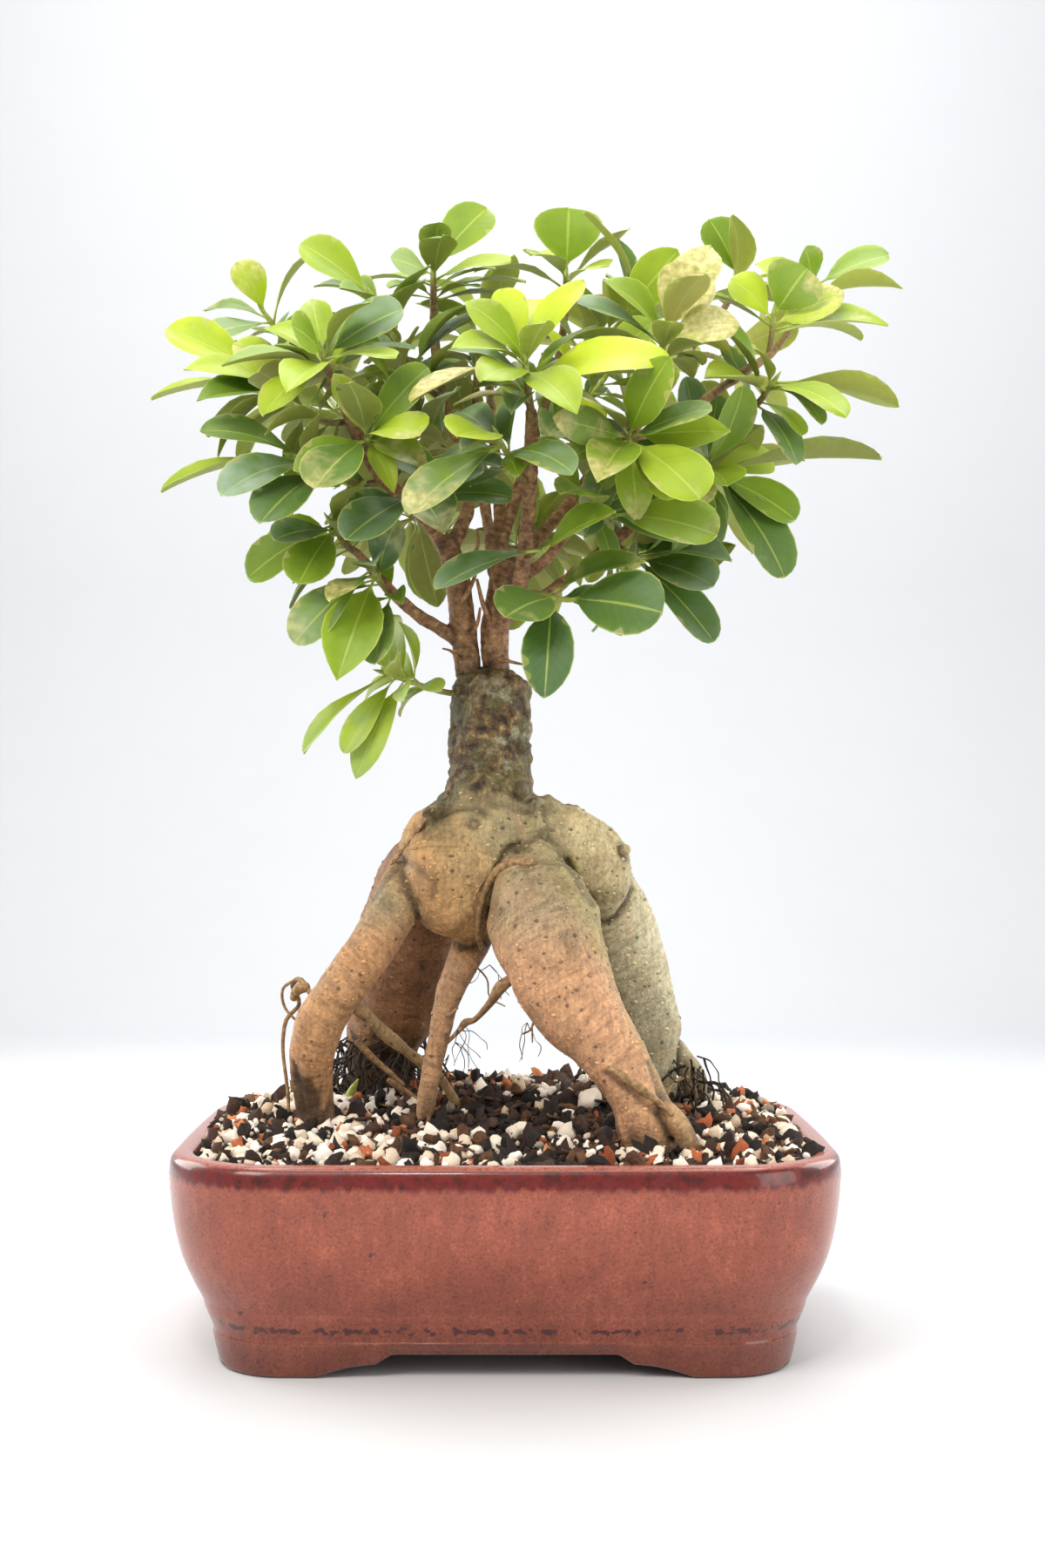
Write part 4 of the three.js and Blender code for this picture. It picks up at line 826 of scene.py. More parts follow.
RIGHT_SCION = {
    "right_stem": [(-1.6, 3.5, 203, 4), (-2.6, 3, 211, 4.3), (-3.4, 3, 220, 4.5), (-3, 2, 228, 4.4),
        (-2, 2, 234, 4.3), (-1, 1, 240, 4.2), (0, 0, 245, 3.6)],
    "front": [(-1, 1, 229.5, 3), (3.5, -8, 233, 2.6), (5, -14, 240, 2.5), (6.5, -18, 251, 2.4),
        (7.5, -23, 263.5, 2.3), (8, -28, 276, 2.2), (8, -33, 288, 1.9)],
    "right_reach": [(0, 1, 240, 3), (10.5, -3, 245, 2.4), (19.5, -8, 255, 2.2), (28, -13, 267, 2.1),
        (36, -18, 279, 2), (44, -21, 291, 1.8), (48, -22, 304, 1.5)],
    "right_high": [(36, -18, 279, 1.9), (46, -15, 285, 1.7), (57, -10, 292, 1.6), (67, -4, 300, 1.6),
        (78, 4, 309, 1.5), (89, 12, 318, 1.4), (97, 20, 330, 1.2)],
    "right_low": [(-1, 2, 229, 3), (10.5, 4, 234.5, 2.2), (23, 8, 244, 2), (34.5, 12, 254, 2),
        (46.5, 16, 264.5, 1.9), (60, 19, 279, 1.8), (72, 16, 290, 1.6), (81, 10, 299, 1.4)],
    "inner_up": [(-2, 2, 244, 2.8), (-1, 8, 253.5, 2.2), (1, 14, 262, 2.1), (5, 22, 275.5, 2),
        (11, 32, 297, 1.8), (18, 40, 320, 1.6), (21, 43, 340, 1.3)],
    "inner_left": [(-3, 2, 243, 2.6), (-5, 8, 256, 2), (-7, 16, 270, 1.8), (-9, 22, 288, 1.6),
        (-10, 25, 306, 1.3)],
    "right_back": [(-1, 2, 240, 3), (6, 12, 251, 2.4), (20, 28, 268, 2.2), (38, 44, 294, 2.1),
        (58, 52, 320, 1.9), (74, 52, 340, 1.4)],
    "mid_back": [(-2, 3, 238, 2.8), (-2, 20, 252, 2.3), (-2, 38, 272, 2.1), (-4, 54, 298, 1.9),
        (-6, 62, 322, 1.5)],
}
WOOD_VOXEL = 0.55


def make_scion(name, table):
    """One graft's wood, with a bark that is old at its foot and young at its ends."""
    shapes = [limb(stations, 20 if key.endswith("stem") else 12, swell=0.12)
              for key, stations in table.items()]
    made = merged(name, shapes, WOOD_VOXEL, 3)
    points = points_of(made)
    _, along, second, _ = nearest_limbs(points, table.values())
    rough = fractal_of(points, 3.4, 3)
    old = 1 - smoothstep(205, 222, points[:, 2] + 4 * rough)
    rings = np.sin(along / 1.1) * (fractal_of(points, 9) > 0.1)
    push = rough * (0.22 + 0.55 * old) + 0.12 * rings
    set_points(made, points + corners(made, "normal") * push[:, None])
    for title, values in (("old", old), ("along", along), ("crease", 1 - smoothstep(0, 1.4, second)),
                          ("young", smoothstep(262, 325, points[:, 2] + 16 * rough))):
        store(made, title, values)
    return made


def branch_bark():
    material, add, place = new_material("fig_branch_bark")
    old, young, along, crease = (add("Attribute", attribute_name=name).outputs["Fac"]
                                 for name in ("old", "young", "along", "crease"))
    # Leaf scars and stretch marks ring the branch every millimetre or so.
    wrapped = round_limb(add, place, along, 4, 1.2)
    scars = add("TexNoise", wrapped, 1, detail=3)
    flakes = add("TexNoise", place, per(2.4), detail=4, roughness=0.65)
    brown = add("ValToRGB", flakes, stops=[(0.32, "5f432e"), (0.48, "896445"), (0.62, "ac835d"),
                                           (0.76, "caa883")])
    green = add("ValToRGB", flakes, stops=[(0.3, "7b6138"), (0.7, "a08a55")])
    dead = add("ValToRGB", flakes, stops=[(0.35, "241b13"), (0.65, "6b5740")])
    tone = add("Mix.RGBA", young, brown, green)
    tone = add("Mix.RGBA", old, tone, dead)
    lines = add("MapRange", scars, 0.34, 0.56, 0.7, 1.08)
    tone = add("VectorMath.SCALE", tone, lines)
    # Painted shade darkens the creases where branches meet.
    crease_shade = add("Math.MULTIPLY", crease, 0.5)
    tone = add("Mix.RGBA", crease_shade, tone, "3a2a1d")
    relief = add("Math.MULTIPLY_ADD", scars, 0.9, flakes)
    bump = add("Bump", height=relief, strength=0.6, distance=0.35 * MM)
    add("OutputMaterial", add("BsdfPrincipled", base_color=tone, roughness=0.68, normal=bump, ior=1.45))
    return material


bark_finish = branch_bark()
for piece_name, table, node in (("left_scion_wood", LEFT_SCION, "scion_left"),
                                ("right_scion_wood", RIGHT_SCION, "scion_right")):
    scion = make_scion(piece_name, table)
    coat(scion, bark_finish)
    finished(scion, "fig_branch_bark", node)

# %% Dead twigs
# Short stubs of shoots that died in the shade still stand between the two grafts.
DEAD_TWIGS = [
    [(-12, 1, 222, 0.9), (-9, -4, 226, 0.7), (-8, -5, 231, 0.4)],
    [(-4, 0, 226, 1.0), (-7, -5, 232, 0.8), (-9, -6, 240, 0.5)],
    [(-1, -1, 233, 0.9), (-4, -6, 240, 0.7), (-5, -7, 248, 0.4)],
    [(-15, -1, 232, 0.9), (-11, -5, 238, 0.7), (-8, -6, 246, 0.35)],
    [(-2, -1, 215, 0.8), (3, -5, 213.5, 0.5), (7, -6, 212.5, 0.3)],
    [(-15, -2, 243, 0.9), (-9, -5, 250, 0.6), (-9, -6, 256, 0.4)],
    [(-13, 1, 213, 0.8), (-17, -4, 217, 0.5), (-20, -5, 218, 0.3)],
]
twigs = new_mesh("dead_twigs", *gathered([limb(line, 8, 4) for line in DEAD_TWIGS]))
coat(twigs, bark_finish)
finished(twigs, "fig_branch_bark")

# %% [markdown]
# ## The soil
# Bonsai soil is loose grit, not earth: chunks of dark bark and charcoal, white pumice, orange lava,
# grey grit and dark fines. The bed is one closed body that fills the pot, with a mounded rough top.
# The grit is strewn on it by a node tree that throws points on the top, sets a stone on each, and
# turns and scales it at random from a fixed seed.

# %% The bed of fines
SOIL_EDGE = 62.2
SOIL_MOUND = 10.5
SEAT_GAP = 0.3
BED_INSET = 8.9
BED_ROUGH = 0.9


def soil_height(x, y):
    across = np.exp(-((np.abs(x) / 80) ** 3))
    behind = np.exp(-(((y - 36) / 52) ** 2))
    return SOIL_EDGE + SOIL_MOUND * across * behind


def make_bed():
    rows = outline(np.linspace(CORNER_X, -CORNER_X, 29), np.linspace(CORNER_Y, -CORNER_Y, 19), 8)
    rings = [ring(rows, inset + SEAT_GAP, max(z, FLOOR + SEAT_GAP)) for inset, z in INNER_WALL]
    edge = ring(rows, BED_INSET, 0)
    for share in np.linspace(1, 0.02, 34):
        level = edge * (share, share, 0)
        level[:, 2] = soil_height(level[:, 0], level[:, 1]) - BED_ROUGH
        level[:, 2] += BED_ROUGH * fractal_of(level, 7, 3)
        rings.append(level)
    middle = (0, 0, soil_height(0, 0) - BED_ROUGH)
    return new_mesh("soil_bed", *skin(rings, (0, 0, FLOOR + SEAT_GAP), middle))


bed = make_bed()
coat(bed, grainy("composted_bark_fines", 1.6, 5, [(0.36, "0e0a08"), (0.52, "21160f"),
                                                  (0.66, "3d2a1c")], 0.92, 1, 1, 0.75))
# Only the part of the top that lies inside the lip is strewn with grit.
top_faces = [f for f in bed.data.polygons if f.normal.z > 0.6 and f.center.z / MM > SOIL_EDGE - 3]
top_points = sorted({i for f in top_faces for i in f.vertices})
renumbered = {old: new for new, old in enumerate(top_points)}
soil_top = new_mesh("soil_top", points_of(bed)[top_points],
                    [tuple(renumbered[i] for i in f.vertices) for f in top_faces])
finished(bed, "bonsai_grit", "soil")

# %% Stones of each kind
def stone(name, seed, stretch, rough, angular):
    """A lump one mm in radius. `rough` dents it, and `angular` squares it off."""
    shape = bmesh.new()
    bmesh.ops.create_icosphere(shape, subdivisions=2 if name[:5] in ("lump_", "chunk") else 1, radius=1)
    for vertex in shape.verts:
        spot = vertex.co.copy()
        if angular:
            length = max(abs(spot.x), abs(spot.y), abs(spot.z))
            spot = spot.lerp(spot / length, angular)
        dent = 1 + rough * noise.noise(vertex.co * 1.6 + Vector((seed * 7.3, 0, 0)))
        vertex.co = Vector(c * s * MM for c, s in zip(spot * dent, stretch))
    mesh = bpy.data.meshes.new(name)
    shape.to_mesh(mesh)
    shape.free()
    mesh.polygons.foreach_set("use_smooth", [True] * len(mesh.polygons))
    return bpy.data.objects.new(name, mesh)


def stone_box(name, count, seed, stretch, rough, angular):
    """A collection of stones that a node tree picks from."""
    box = bpy.data.collections.new(name + "s")
    for i in range(count):
        box.objects.link(stone(f"{name}_{i}", i + seed, stretch, rough, angular))
    return box


# %% The larger pumice stones
# The frame's bed carries these, so they are drawn here by the same rule and lie in the same places.
PEBBLE_SEED = 4127
EDGE_DRAWS = 112
PEBBLE_COUNT = 26
PEBBLE_MARGIN = 17


def pebbles():
    """Place, radius, turn and stretch of each large stone."""
    draw = dice(PEBBLE_SEED)
    for _ in range(EDGE_DRAWS):
        next(draw)
    roots = [spot for stations in ROOTS.values() for spot in stations if spot[2] < 92]
    placed = []
    while len(placed) < PEBBLE_COUNT:
        x = (next(draw) * 2 - 1) * (POT_WIDTH / 2 - PEBBLE_MARGIN)
        y = (next(draw) * 2 - 1) * (POT_DEPTH / 2 - PEBBLE_MARGIN)
        radius = 2.3 + 2.2 * next(draw) * next(draw)
        wanted = next(draw) < 0.45 - 0.25 * x / 90 - 0.3 * y / 65
        turn = [3 * next(draw) for _ in range(3)]
        stretch = (1 + 0.3 * next(draw), 0.85 + 0.2 * next(draw), 0.75)
        past = hypot(max(abs(x) - CORNER_X, 0), max(abs(y) - CORNER_Y, 0))
        clear = all(hypot(s[0] - x, s[1] - y) >= s[3] + radius * 1.4 + 2 for s in roots)
        clear = clear and all(hypot(p[0] - x, p[1] - y) >= p[2] + radius * 1.1 for p in placed)
        if wanted and clear and past <= POT_CORNER - PEBBLE_MARGIN + 3:
            placed.append((x, y, radius, turn, stretch))
    return placed


def large_stones():
    shapes = []
    for number, (x, y, radius, turn, stretch) in enumerate(pebbles()):
        shape = bmesh.new()
        bmesh.ops.create_icosphere(shape, subdivisions=3, radius=1)
        pose = Matrix.LocRotScale(None, Euler(turn), None)
        middle = Vector((x, y, float(soil_height(x, y)) + 0.25 * radius))
        spots = []
        for vertex in shape.verts:
            dent = 1 + 0.42 * noise.noise(vertex.co * 1.3 + Vector((number * 3.7, 0, 0)))
            dent += 0.16 * noise.noise(vertex.co * 4.1 + Vector((number * 3.7, 0, 0)))
            spot = Vector(c * k * 0.95 * radius * dent for c, k in zip(vertex.co, stretch))
            spots.append(pose @ spot + middle)
        shapes.append((np.array(spots), [tuple(v.index for v in f.verts) for f in shape.faces]))
        shape.free()
    return shapes


stones = large_stones()
large_pumice = new_mesh("large_pumice", *gathered(stones))
draw = dice(61)
tone = np.repeat([0.35 + 0.5 * next(draw) for _ in stones], len(stones[0][0]))
store(large_pumice, "tone", tone)

# %% A node tree that strews stones on a surface
def new_tree(name, sockets):
    """A tree that takes and gives geometry: its add function, its inputs and their identifiers."""
    tree = bpy.data.node_groups.new(name, "GeometryNodeTree")
    identifiers = {}
    for title, kind, *given in [("Geometry", "Geometry"), *sockets]:
        socket = tree.interface.new_socket(name=title, in_out="INPUT", socket_type="NodeSocket" + kind)
        identifiers[title] = socket.identifier
        if given:
            socket.default_value = given[0]
    tree.interface.new_socket(name="Geometry", in_out="OUTPUT", socket_type="NodeSocketGeometry")
    add = partial(add_node, tree)
    return tree, add, add("GroupInput").outputs, identifiers


def run_tree(made, title, tree, identifiers, **inputs):
    """Runs a node tree on an object with its inputs set by name, and keeps the plain mesh."""
    """Runs a node tree on an object and keeps what it gives as the object's plain mesh."""
    modifier = made.modifiers.new(title, "NODES")
    modifier.node_group = tree
    for name, value in inputs.items():
        modifier[identifiers[name.replace("_", " ").title()]] = value
    return applied(made)


def strewing_tree():
    tree, add, given, identifiers = new_tree("strewn_grit", [
        ("Stones", "Collection"), ("Finish", "Material"), ("Density", "Float", 1000.0),
        ("Spacing", "Float", 2 * MM), ("Smallest", "Float", 1.0), ("Largest", "Float", 2.0),
        ("Sunk", "Float", 0.0), ("Tilt", "Float", 3.2), ("Flat", "Bool", False), ("Seed", "Int", 1)])
    share = add("InputNamedAttribute", name="share", data_type="FLOAT")
    thrown = add("DistributePointsOnFaces", mesh=given["Geometry"], distance_min=given["Spacing"],
                 density_max=given["Density"], density_factor=share, seed=given["Seed"],
                 distribute_method="POISSON")
    sunk = add("CombineXYZ", z=given["Sunk"])
    placed = add("SetPosition", geometry=thrown.outputs["Points"], offset=sunk)
    lean = add("CombineXYZ", x=given["Tilt"], y=given["Tilt"], z=6.3)
    back = add("VectorMath.SCALE", lean, -1)
    turn = add("RandomValue", min=back, max=lean, seed=given["Seed"], data_type="FLOAT_VECTOR")
    turn = add("EulerToRotation", euler=turn)
    turn = add("Switch", switch=given["Flat"], false=turn, true=thrown.outputs["Rotation"],
               input_type="ROTATION")
    # Small stones are commoner than large ones, so the draw is raised to a power.
    draw = add("RandomValue", min=0, max=1, seed=7, data_type="FLOAT")
    skewed = add("Math.POWER", draw, 2.2)
    size = add("MapRange", skewed, 0, 1, given["Smallest"], given["Largest"])
    picked = add("CollectionInfo", collection=given["Stones"], separate_children=True,
                 reset_children=True)
    strewn = add("InstanceOnPoints", points=placed, instance=picked, pick_instance=True, rotation=turn,
                 scale=size)
    tint = add("RandomValue", min=0, max=1, seed=11, data_type="FLOAT")
    kept = add("StoreNamedAttribute", geometry=strewn, name="tone", value=tint, data_type="FLOAT",
               domain="INSTANCE")
    real = add("RealizeInstances", geometry=kept)
    coated = add("SetMaterial", geometry=real, material=given["Finish"])
    add("GroupOutput", geometry=coated)
    return tree, identifiers


STREW_TREE, STREW_INPUTS = strewing_tree()


def strew(name, ground, share, slot, **inputs):
    """A piece of stones strewn over a ground, as a plain mesh. `share` thins them out place by place."""
    made = shown(name, ground.data.copy())
    store(made, "share", share)
    finished(run_tree(made, "strewn grit", STREW_TREE, STREW_INPUTS, **inputs), slot)


# %% Finishes of the grit
def grit_finish(name, stops, rough, pore, depth):
    """Grit whose tone differs from stone to stone, with pores of that many mm."""
    material, add, place = new_material(name)
    tone = add("Attribute", attribute_name="tone").outputs["Fac"]
    pores = add("TexNoise", place, per(pore), detail=3, roughness=0.7)
    mixed = add("Math.MULTIPLY_ADD", pores, 0.6, -0.3)
    mixed = add("Math.ADD", mixed, tone)
    shade = add("ValToRGB", mixed, stops=stops)
    bump = add("Bump", height=pores, strength=0.8, distance=depth * MM)
    add("OutputMaterial", add("BsdfPrincipled", base_color=shade, roughness=rough, normal=bump))
    return material


bark_bits = grit_finish("composted_pine_bark", [(0.0, "0c0705"), (0.45, "231610"), (0.78, "44291b"),
                                                (1.0, "6b4a30")], 0.85, 1.0, 0.7)
pumice = grit_finish("horticultural_pumice", [(0.0, "bfa58a"), (0.3, "e3d2bd"), (0.6, "f2e7da"),
                                              (1.0, "fbf4ec")], 0.85, 0.7, 0.35)
lava = grit_finish("red_lava_rock", [(0.0, "7c3b1e"), (0.5, "b36038"), (1.0, "d18c5e")], 0.9, 0.7, 0.35)
gravel = grit_finish("grey_river_grit", [(0.0, "6a6557"), (0.5, "98917f"), (1.0, "c2baa6")], 0.6, 1.4,
                     0.1)
flake_finish = grit_finish("pine_bark_flakes", [(0.0, "2b1b12"), (0.5, "553a26"), (1.0, "80583a")], 0.75,
                           1.0, 0.25)

# %% Strewn grit
coat(large_pumice, pumice)
finished(large_pumice, "bonsai_grit")
spots = points_of(soil_top)
everywhere = np.ones(len(spots))
drift = fractal_of(spots * (1, 1, 0), 34)
# Between the legs the dark humus of the old root ball shows, with few stones on it.
humus = 1 - 0.85 * np.exp(-(((spots[:, 0] - 18) / 26) ** 2) - (((spots[:, 1] + 14) / 24) ** 2))
to_sides = np.clip(0.3 - 0.3 * spots[:, 0] / 90 - 0.35 * spots[:, 1] / 65
                   + 0.9 * smoothstep(20, 75, np.abs(spots[:, 0] - 12)) + 0.9 * drift, 0.05, 1) * humus
to_right = np.clip(0.4 + 0.5 * spots[:, 0] / 90, 0.05, 1)
to_back = 0.1 + 0.9 * smoothstep(-20, 20, spots[:, 1])
lump_box = stone_box("lump", 6, 0, (1.25, 0.95, 0.8), 0.6, 0)
chunk_box = stone_box("chunk", 6, 9, (1.5, 0.85, 0.6), 1.1, 0.35)
crumb_box = stone_box("crumb", 4, 19, (1.1, 0.9, 0.8), 0.8, 0.3)
flake_box = stone_box("flake", 4, 29, (1.9, 1, 0.2), 0.5, 0.6)
# Sizes, spacing and how deep the stones are sunk are in mm.
for name, share, box, finish, density, spacing, smallest, largest, sunk, tilt, seed in (
        ("grit_crumbs", everywhere, crumb_box, bark_bits, 3e5, 1.5, 0.6, 1.7, 0.1, 3.2, 3),
        ("grit_bark", everywhere, chunk_box, bark_bits, 8e4, 2.8, 1.0, 3.6, 0.4, 3.2, 5),
        ("grit_pumice", to_sides, lump_box, pumice, 8e4, 3.1, 0.9, 3.0, 1.2, 3.2, 8),
        ("grit_lava", humus, chunk_box, lava, 0.8e4, 7.0, 1.0, 2.6, 1.5, 3.2, 14),
        ("grit_gravel", to_back, lump_box, gravel, 7e3, 6.0, 1.4, 2.8, 1.0, 3.2, 21),
        ("bark_flakes", to_right, flake_box, flake_finish, 1.4e4, 6.0, 1.6, 3.6, 1.6, 0.6, 33)):
    strew(name, soil_top, share, "bonsai_grit", stones=box, finish=finish, density=density,
          spacing=spacing * MM, smallest=smallest, largest=largest, sunk=sunk * MM, tilt=tilt, seed=seed)
bpy.data.objects.remove(soil_top)

# %% [markdown]
# ## Corky pores and feeder roots
# Lenticels stand out of the root skin as pale or brown corky warts a millimetre or two wide. They
# are strewn like the grit, but each lies flat on the skin. Fine feeder roots hang from the legs and
# mat round their feet. Each is a thin limb through a few points: the ones that cling are laid on the
# skin by a ray from the front, and the mats wander with drawn steps.

# %% Lenticels
def cork_finish():
    """Cork, lighter or darker than the skin it stands on, whose tone the strewn points bring along."""
    material, add, place = new_material("corky_lenticels")
    tint = add("Attribute", attribute_name="tint").outputs["Color"]
    tone = add("Attribute", attribute_name="tone").outputs["Fac"]
    pores = add("TexNoise", place, per(0.9), detail=3)
    tone = add("Math.MULTIPLY_ADD", pores, 0.5, tone)
    shade = add("MapRange", tone, 0.35, 0.8, 0.45, 1.4)
    shaded = add("VectorMath.SCALE", tint, shade)
    bump = add("Bump", height=pores, strength=0.8, distance=0.15 * MM)
    add("OutputMaterial", add("BsdfPrincipled", base_color=shaded, roughness=0.8, normal=bump))
    return material


cork = cork_finish()
warts = stone_box("wart", 4, 40, (1.2, 0.8, 0.42), 0.6, 0)
skin_spots = points_of(rootstock)
smooth_skin = (1 - on_trunk) * smoothstep(70, 84, skin_spots[:, 2]) * np.clip(
    0.45 + 0.5 * fractal_of(skin_spots, 18) + 0.5 * smoothstep(128, 150, skin_spots[:, 2]), 0, 1)
strew("lenticels", rootstock, smooth_skin, "fig_root_bark", stones=warts, finish=cork,
      density=1.4e5, spacing=1.9 * MM, smallest=0.28, largest=0.95, sunk=0.0, flat=True, seed=51)

# %% Feeder roots
def laid(surface, line):
    """A front view line of x, z and radius as stations on the skin."""
    stations = []
    for x, z, radius in line:
        start = Vector((np.array([x, -150, z]) + POT_MIDDLE) * MM)
        hit = surface.ray_cast(start, Vector((0, 1, 0)))[0]
        if hit:
            stations.append([*(np.array(hit) / MM - POT_MIDDLE), radius])
    return stations


surface = BVHTree.FromPolygons([v.co for v in rootstock.data.vertices],
                               [p.vertices for p in rootstock.data.polygons])
STRAPS = [
    [(9, 149.5, 1.2), (5, 150, 1.7), (0, 148.4, 1.8), (-4, 145, 1.7), (-7, 140, 1.5), (-8.4, 134, 1.3),
     (-8.6, 127, 1.1), (-7, 120, 0.8)],
    [(-2, 149, 0.5), (-7.5, 143, 0.45), (-10, 136, 0.4), (-9.5, 128, 0.4), (-7, 121, 0.4)],
    [(31, 88.4, 0.9), (36, 85.4, 1.5), (41, 81.8, 1.5), (46, 78, 1.1), (50, 74.5, 0.7)],
    [(-23, 166, 0.5), (-29, 158, 0.8), (-36, 149, 0.8), (-42, 140, 0.6)],
]
HANGING = [
    [(3, -22, 114, 1.4), (-1.5, -20, 110.5, 2.0), (-4.5, -16, 105.5, 1.3), (-9.5, -10, 99.5, 0.9),
     (-12.5, -8.5, 98.4, 1.3), (-15, -8.3, 95.5, 0.8), (-19.8, -8.6, 90.5, 0.5)],
    [(-60, -14, 105.5, 0.8), (-65, -10, 112, 0.9), (-68, -7, 110, 0.8), (-66, -6, 104, 0.7),
     (-70, -7, 99, 0.7), (-71, -8, 90, 0.6), (-69.5, -9, 78, 0.6), (-69, -8, 70, 0.5)],
    [(-63, -12, 110, 1.6), (-66, -10.5, 109, 1.8), (-67.5, -9, 106, 1.2)],
    [(-67, -9, 112, 0.5), (-71, -8, 109, 0.5), (-70.5, -7, 103, 0.5), (-66, -7, 98, 0.4)],
    [(-20, -10, 100, 0.7), (-17, -12, 101.5, 0.6), (-15.5, -13, 103, 0.4)],
    [(-47, -8, 92, 1.2), (-42, -4, 86, 1.1), (-37, 0, 81, 0.9), (-33, 2, 77, 0.7)],
    [(-38, 6, 78, 1.0), (-32, 8, 73.5, 1.1), (-27, 9, 70, 0.8)],
    [(9.5, -18, 101, 0.4), (8, -17, 97, 0.35), (5.5, -16, 95.5, 0.3)],
    [(8.5, -17.5, 98, 0.3), (8.6, -17, 93, 0.25)],
    [(-12, 0, 118, 0.3), (-6, -2, 112, 0.3), (-5, -3, 106, 0.25), (0, -3, 103, 0.2)],
    [(61, 16, 78, 0.5), (55, 12, 76, 0.5), (53, 8, 72.5, 0.45), (50, 6, 68, 0.4)],
    [(58, 14, 78, 0.5), (53, 9, 74, 0.45), (51, 6, 69.5, 0.4)],
]


def wander(draw, start, steps, stride, fall, radius):
    """A thin root that walks on in drawn steps and sinks a little at each."""
    spot = np.array(start, float)
    heading = unit(np.array([next(draw) - 0.5, next(draw) - 0.5, -0.2]))
    stations = [[*spot, radius]]
    for _ in range(steps):
        swerve = np.array([next(draw) - 0.5, next(draw) - 0.5, next(draw) - 0.5]) * 1.3
        heading = unit(heading + swerve + (0, 0, -fall))
        spot = spot + heading * stride
        stations.append([*spot, radius * (0.6 + 0.5 * next(draw))])
    return stations


def mat_of_roots():
    """Dark fibres round the feet of the rear legs, and a few hairs under the belly."""
    draw = dice(733)
    strands = []
    for middle, reach, count, top in (((-43, 38), 15, 110, 90), ((60, 20), 6.5, 46, 84)):
        for _ in range(count):
            angle = 2 * pi * next(draw)
            out = reach * (0.72 + 0.4 * next(draw))
            start = (middle[0] + out * cos(angle), middle[1] + out * sin(angle),
                     top - 14 * next(draw))
            strands.append(wander(draw, start, 7, 2.6, 0.35, 0.28 + 0.3 * next(draw)))
    for start in ((-15, -9, 96), (-16, -8, 92), (-18, -8, 88), (-14, -8, 97), (-5, 2, 116), (7, -16, 99)):
        for _ in range(3):
            strands.append(wander(draw, start, 6, 2.2, 0.3, 0.15))
    return strands


def root_fibre(name, stops):
    """Thin root, brown and matt. `stops` give its tones."""
    return grainy(name, 1.5, 3, stops, 0.75, 0.6, 0.25)


straps = [limb(laid(surface, line), 10, 4) for line in STRAPS]
hanging = [limb(line, 8, 4) for line in HANGING]
feeders = new_mesh("feeder_roots", *gathered(straps + hanging))
coat(feeders, root_fibre("fig_feeder_root", [(0.3, "6b5034"), (0.52, "957550"), (0.7, "b4956a")]))
finished(feeders, "fig_root_bark")
fibres = new_mesh("root_fibres", *gathered([limb(line, 5, 2) for line in mat_of_roots()]))
coat(fibres, root_fibre("wet_root_fibre", [(0.35, "17100b"), (0.6, "3a281b"), (0.75, "5d4630")]))
finished(fibres, "fig_root_bark")

# %% [markdown]
# ## The leaves
# The fig's leaves are thick, glossy and blunt, and sit one at each node round a green stem. In the
# frame each shoot is a stem with thin plates for its leaves. The rule that placed them is repeated
# here, with the same draws: the shoot says where its bud is, the listed leaves give the crown its
# outline, and the others follow the golden angle. In the frame a leaf that would touch another was
# turned, lifted, rolled or made smaller until it was clear, so here each try is compared with the
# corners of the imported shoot, and the one whose tip is found there is the leaf's true place.

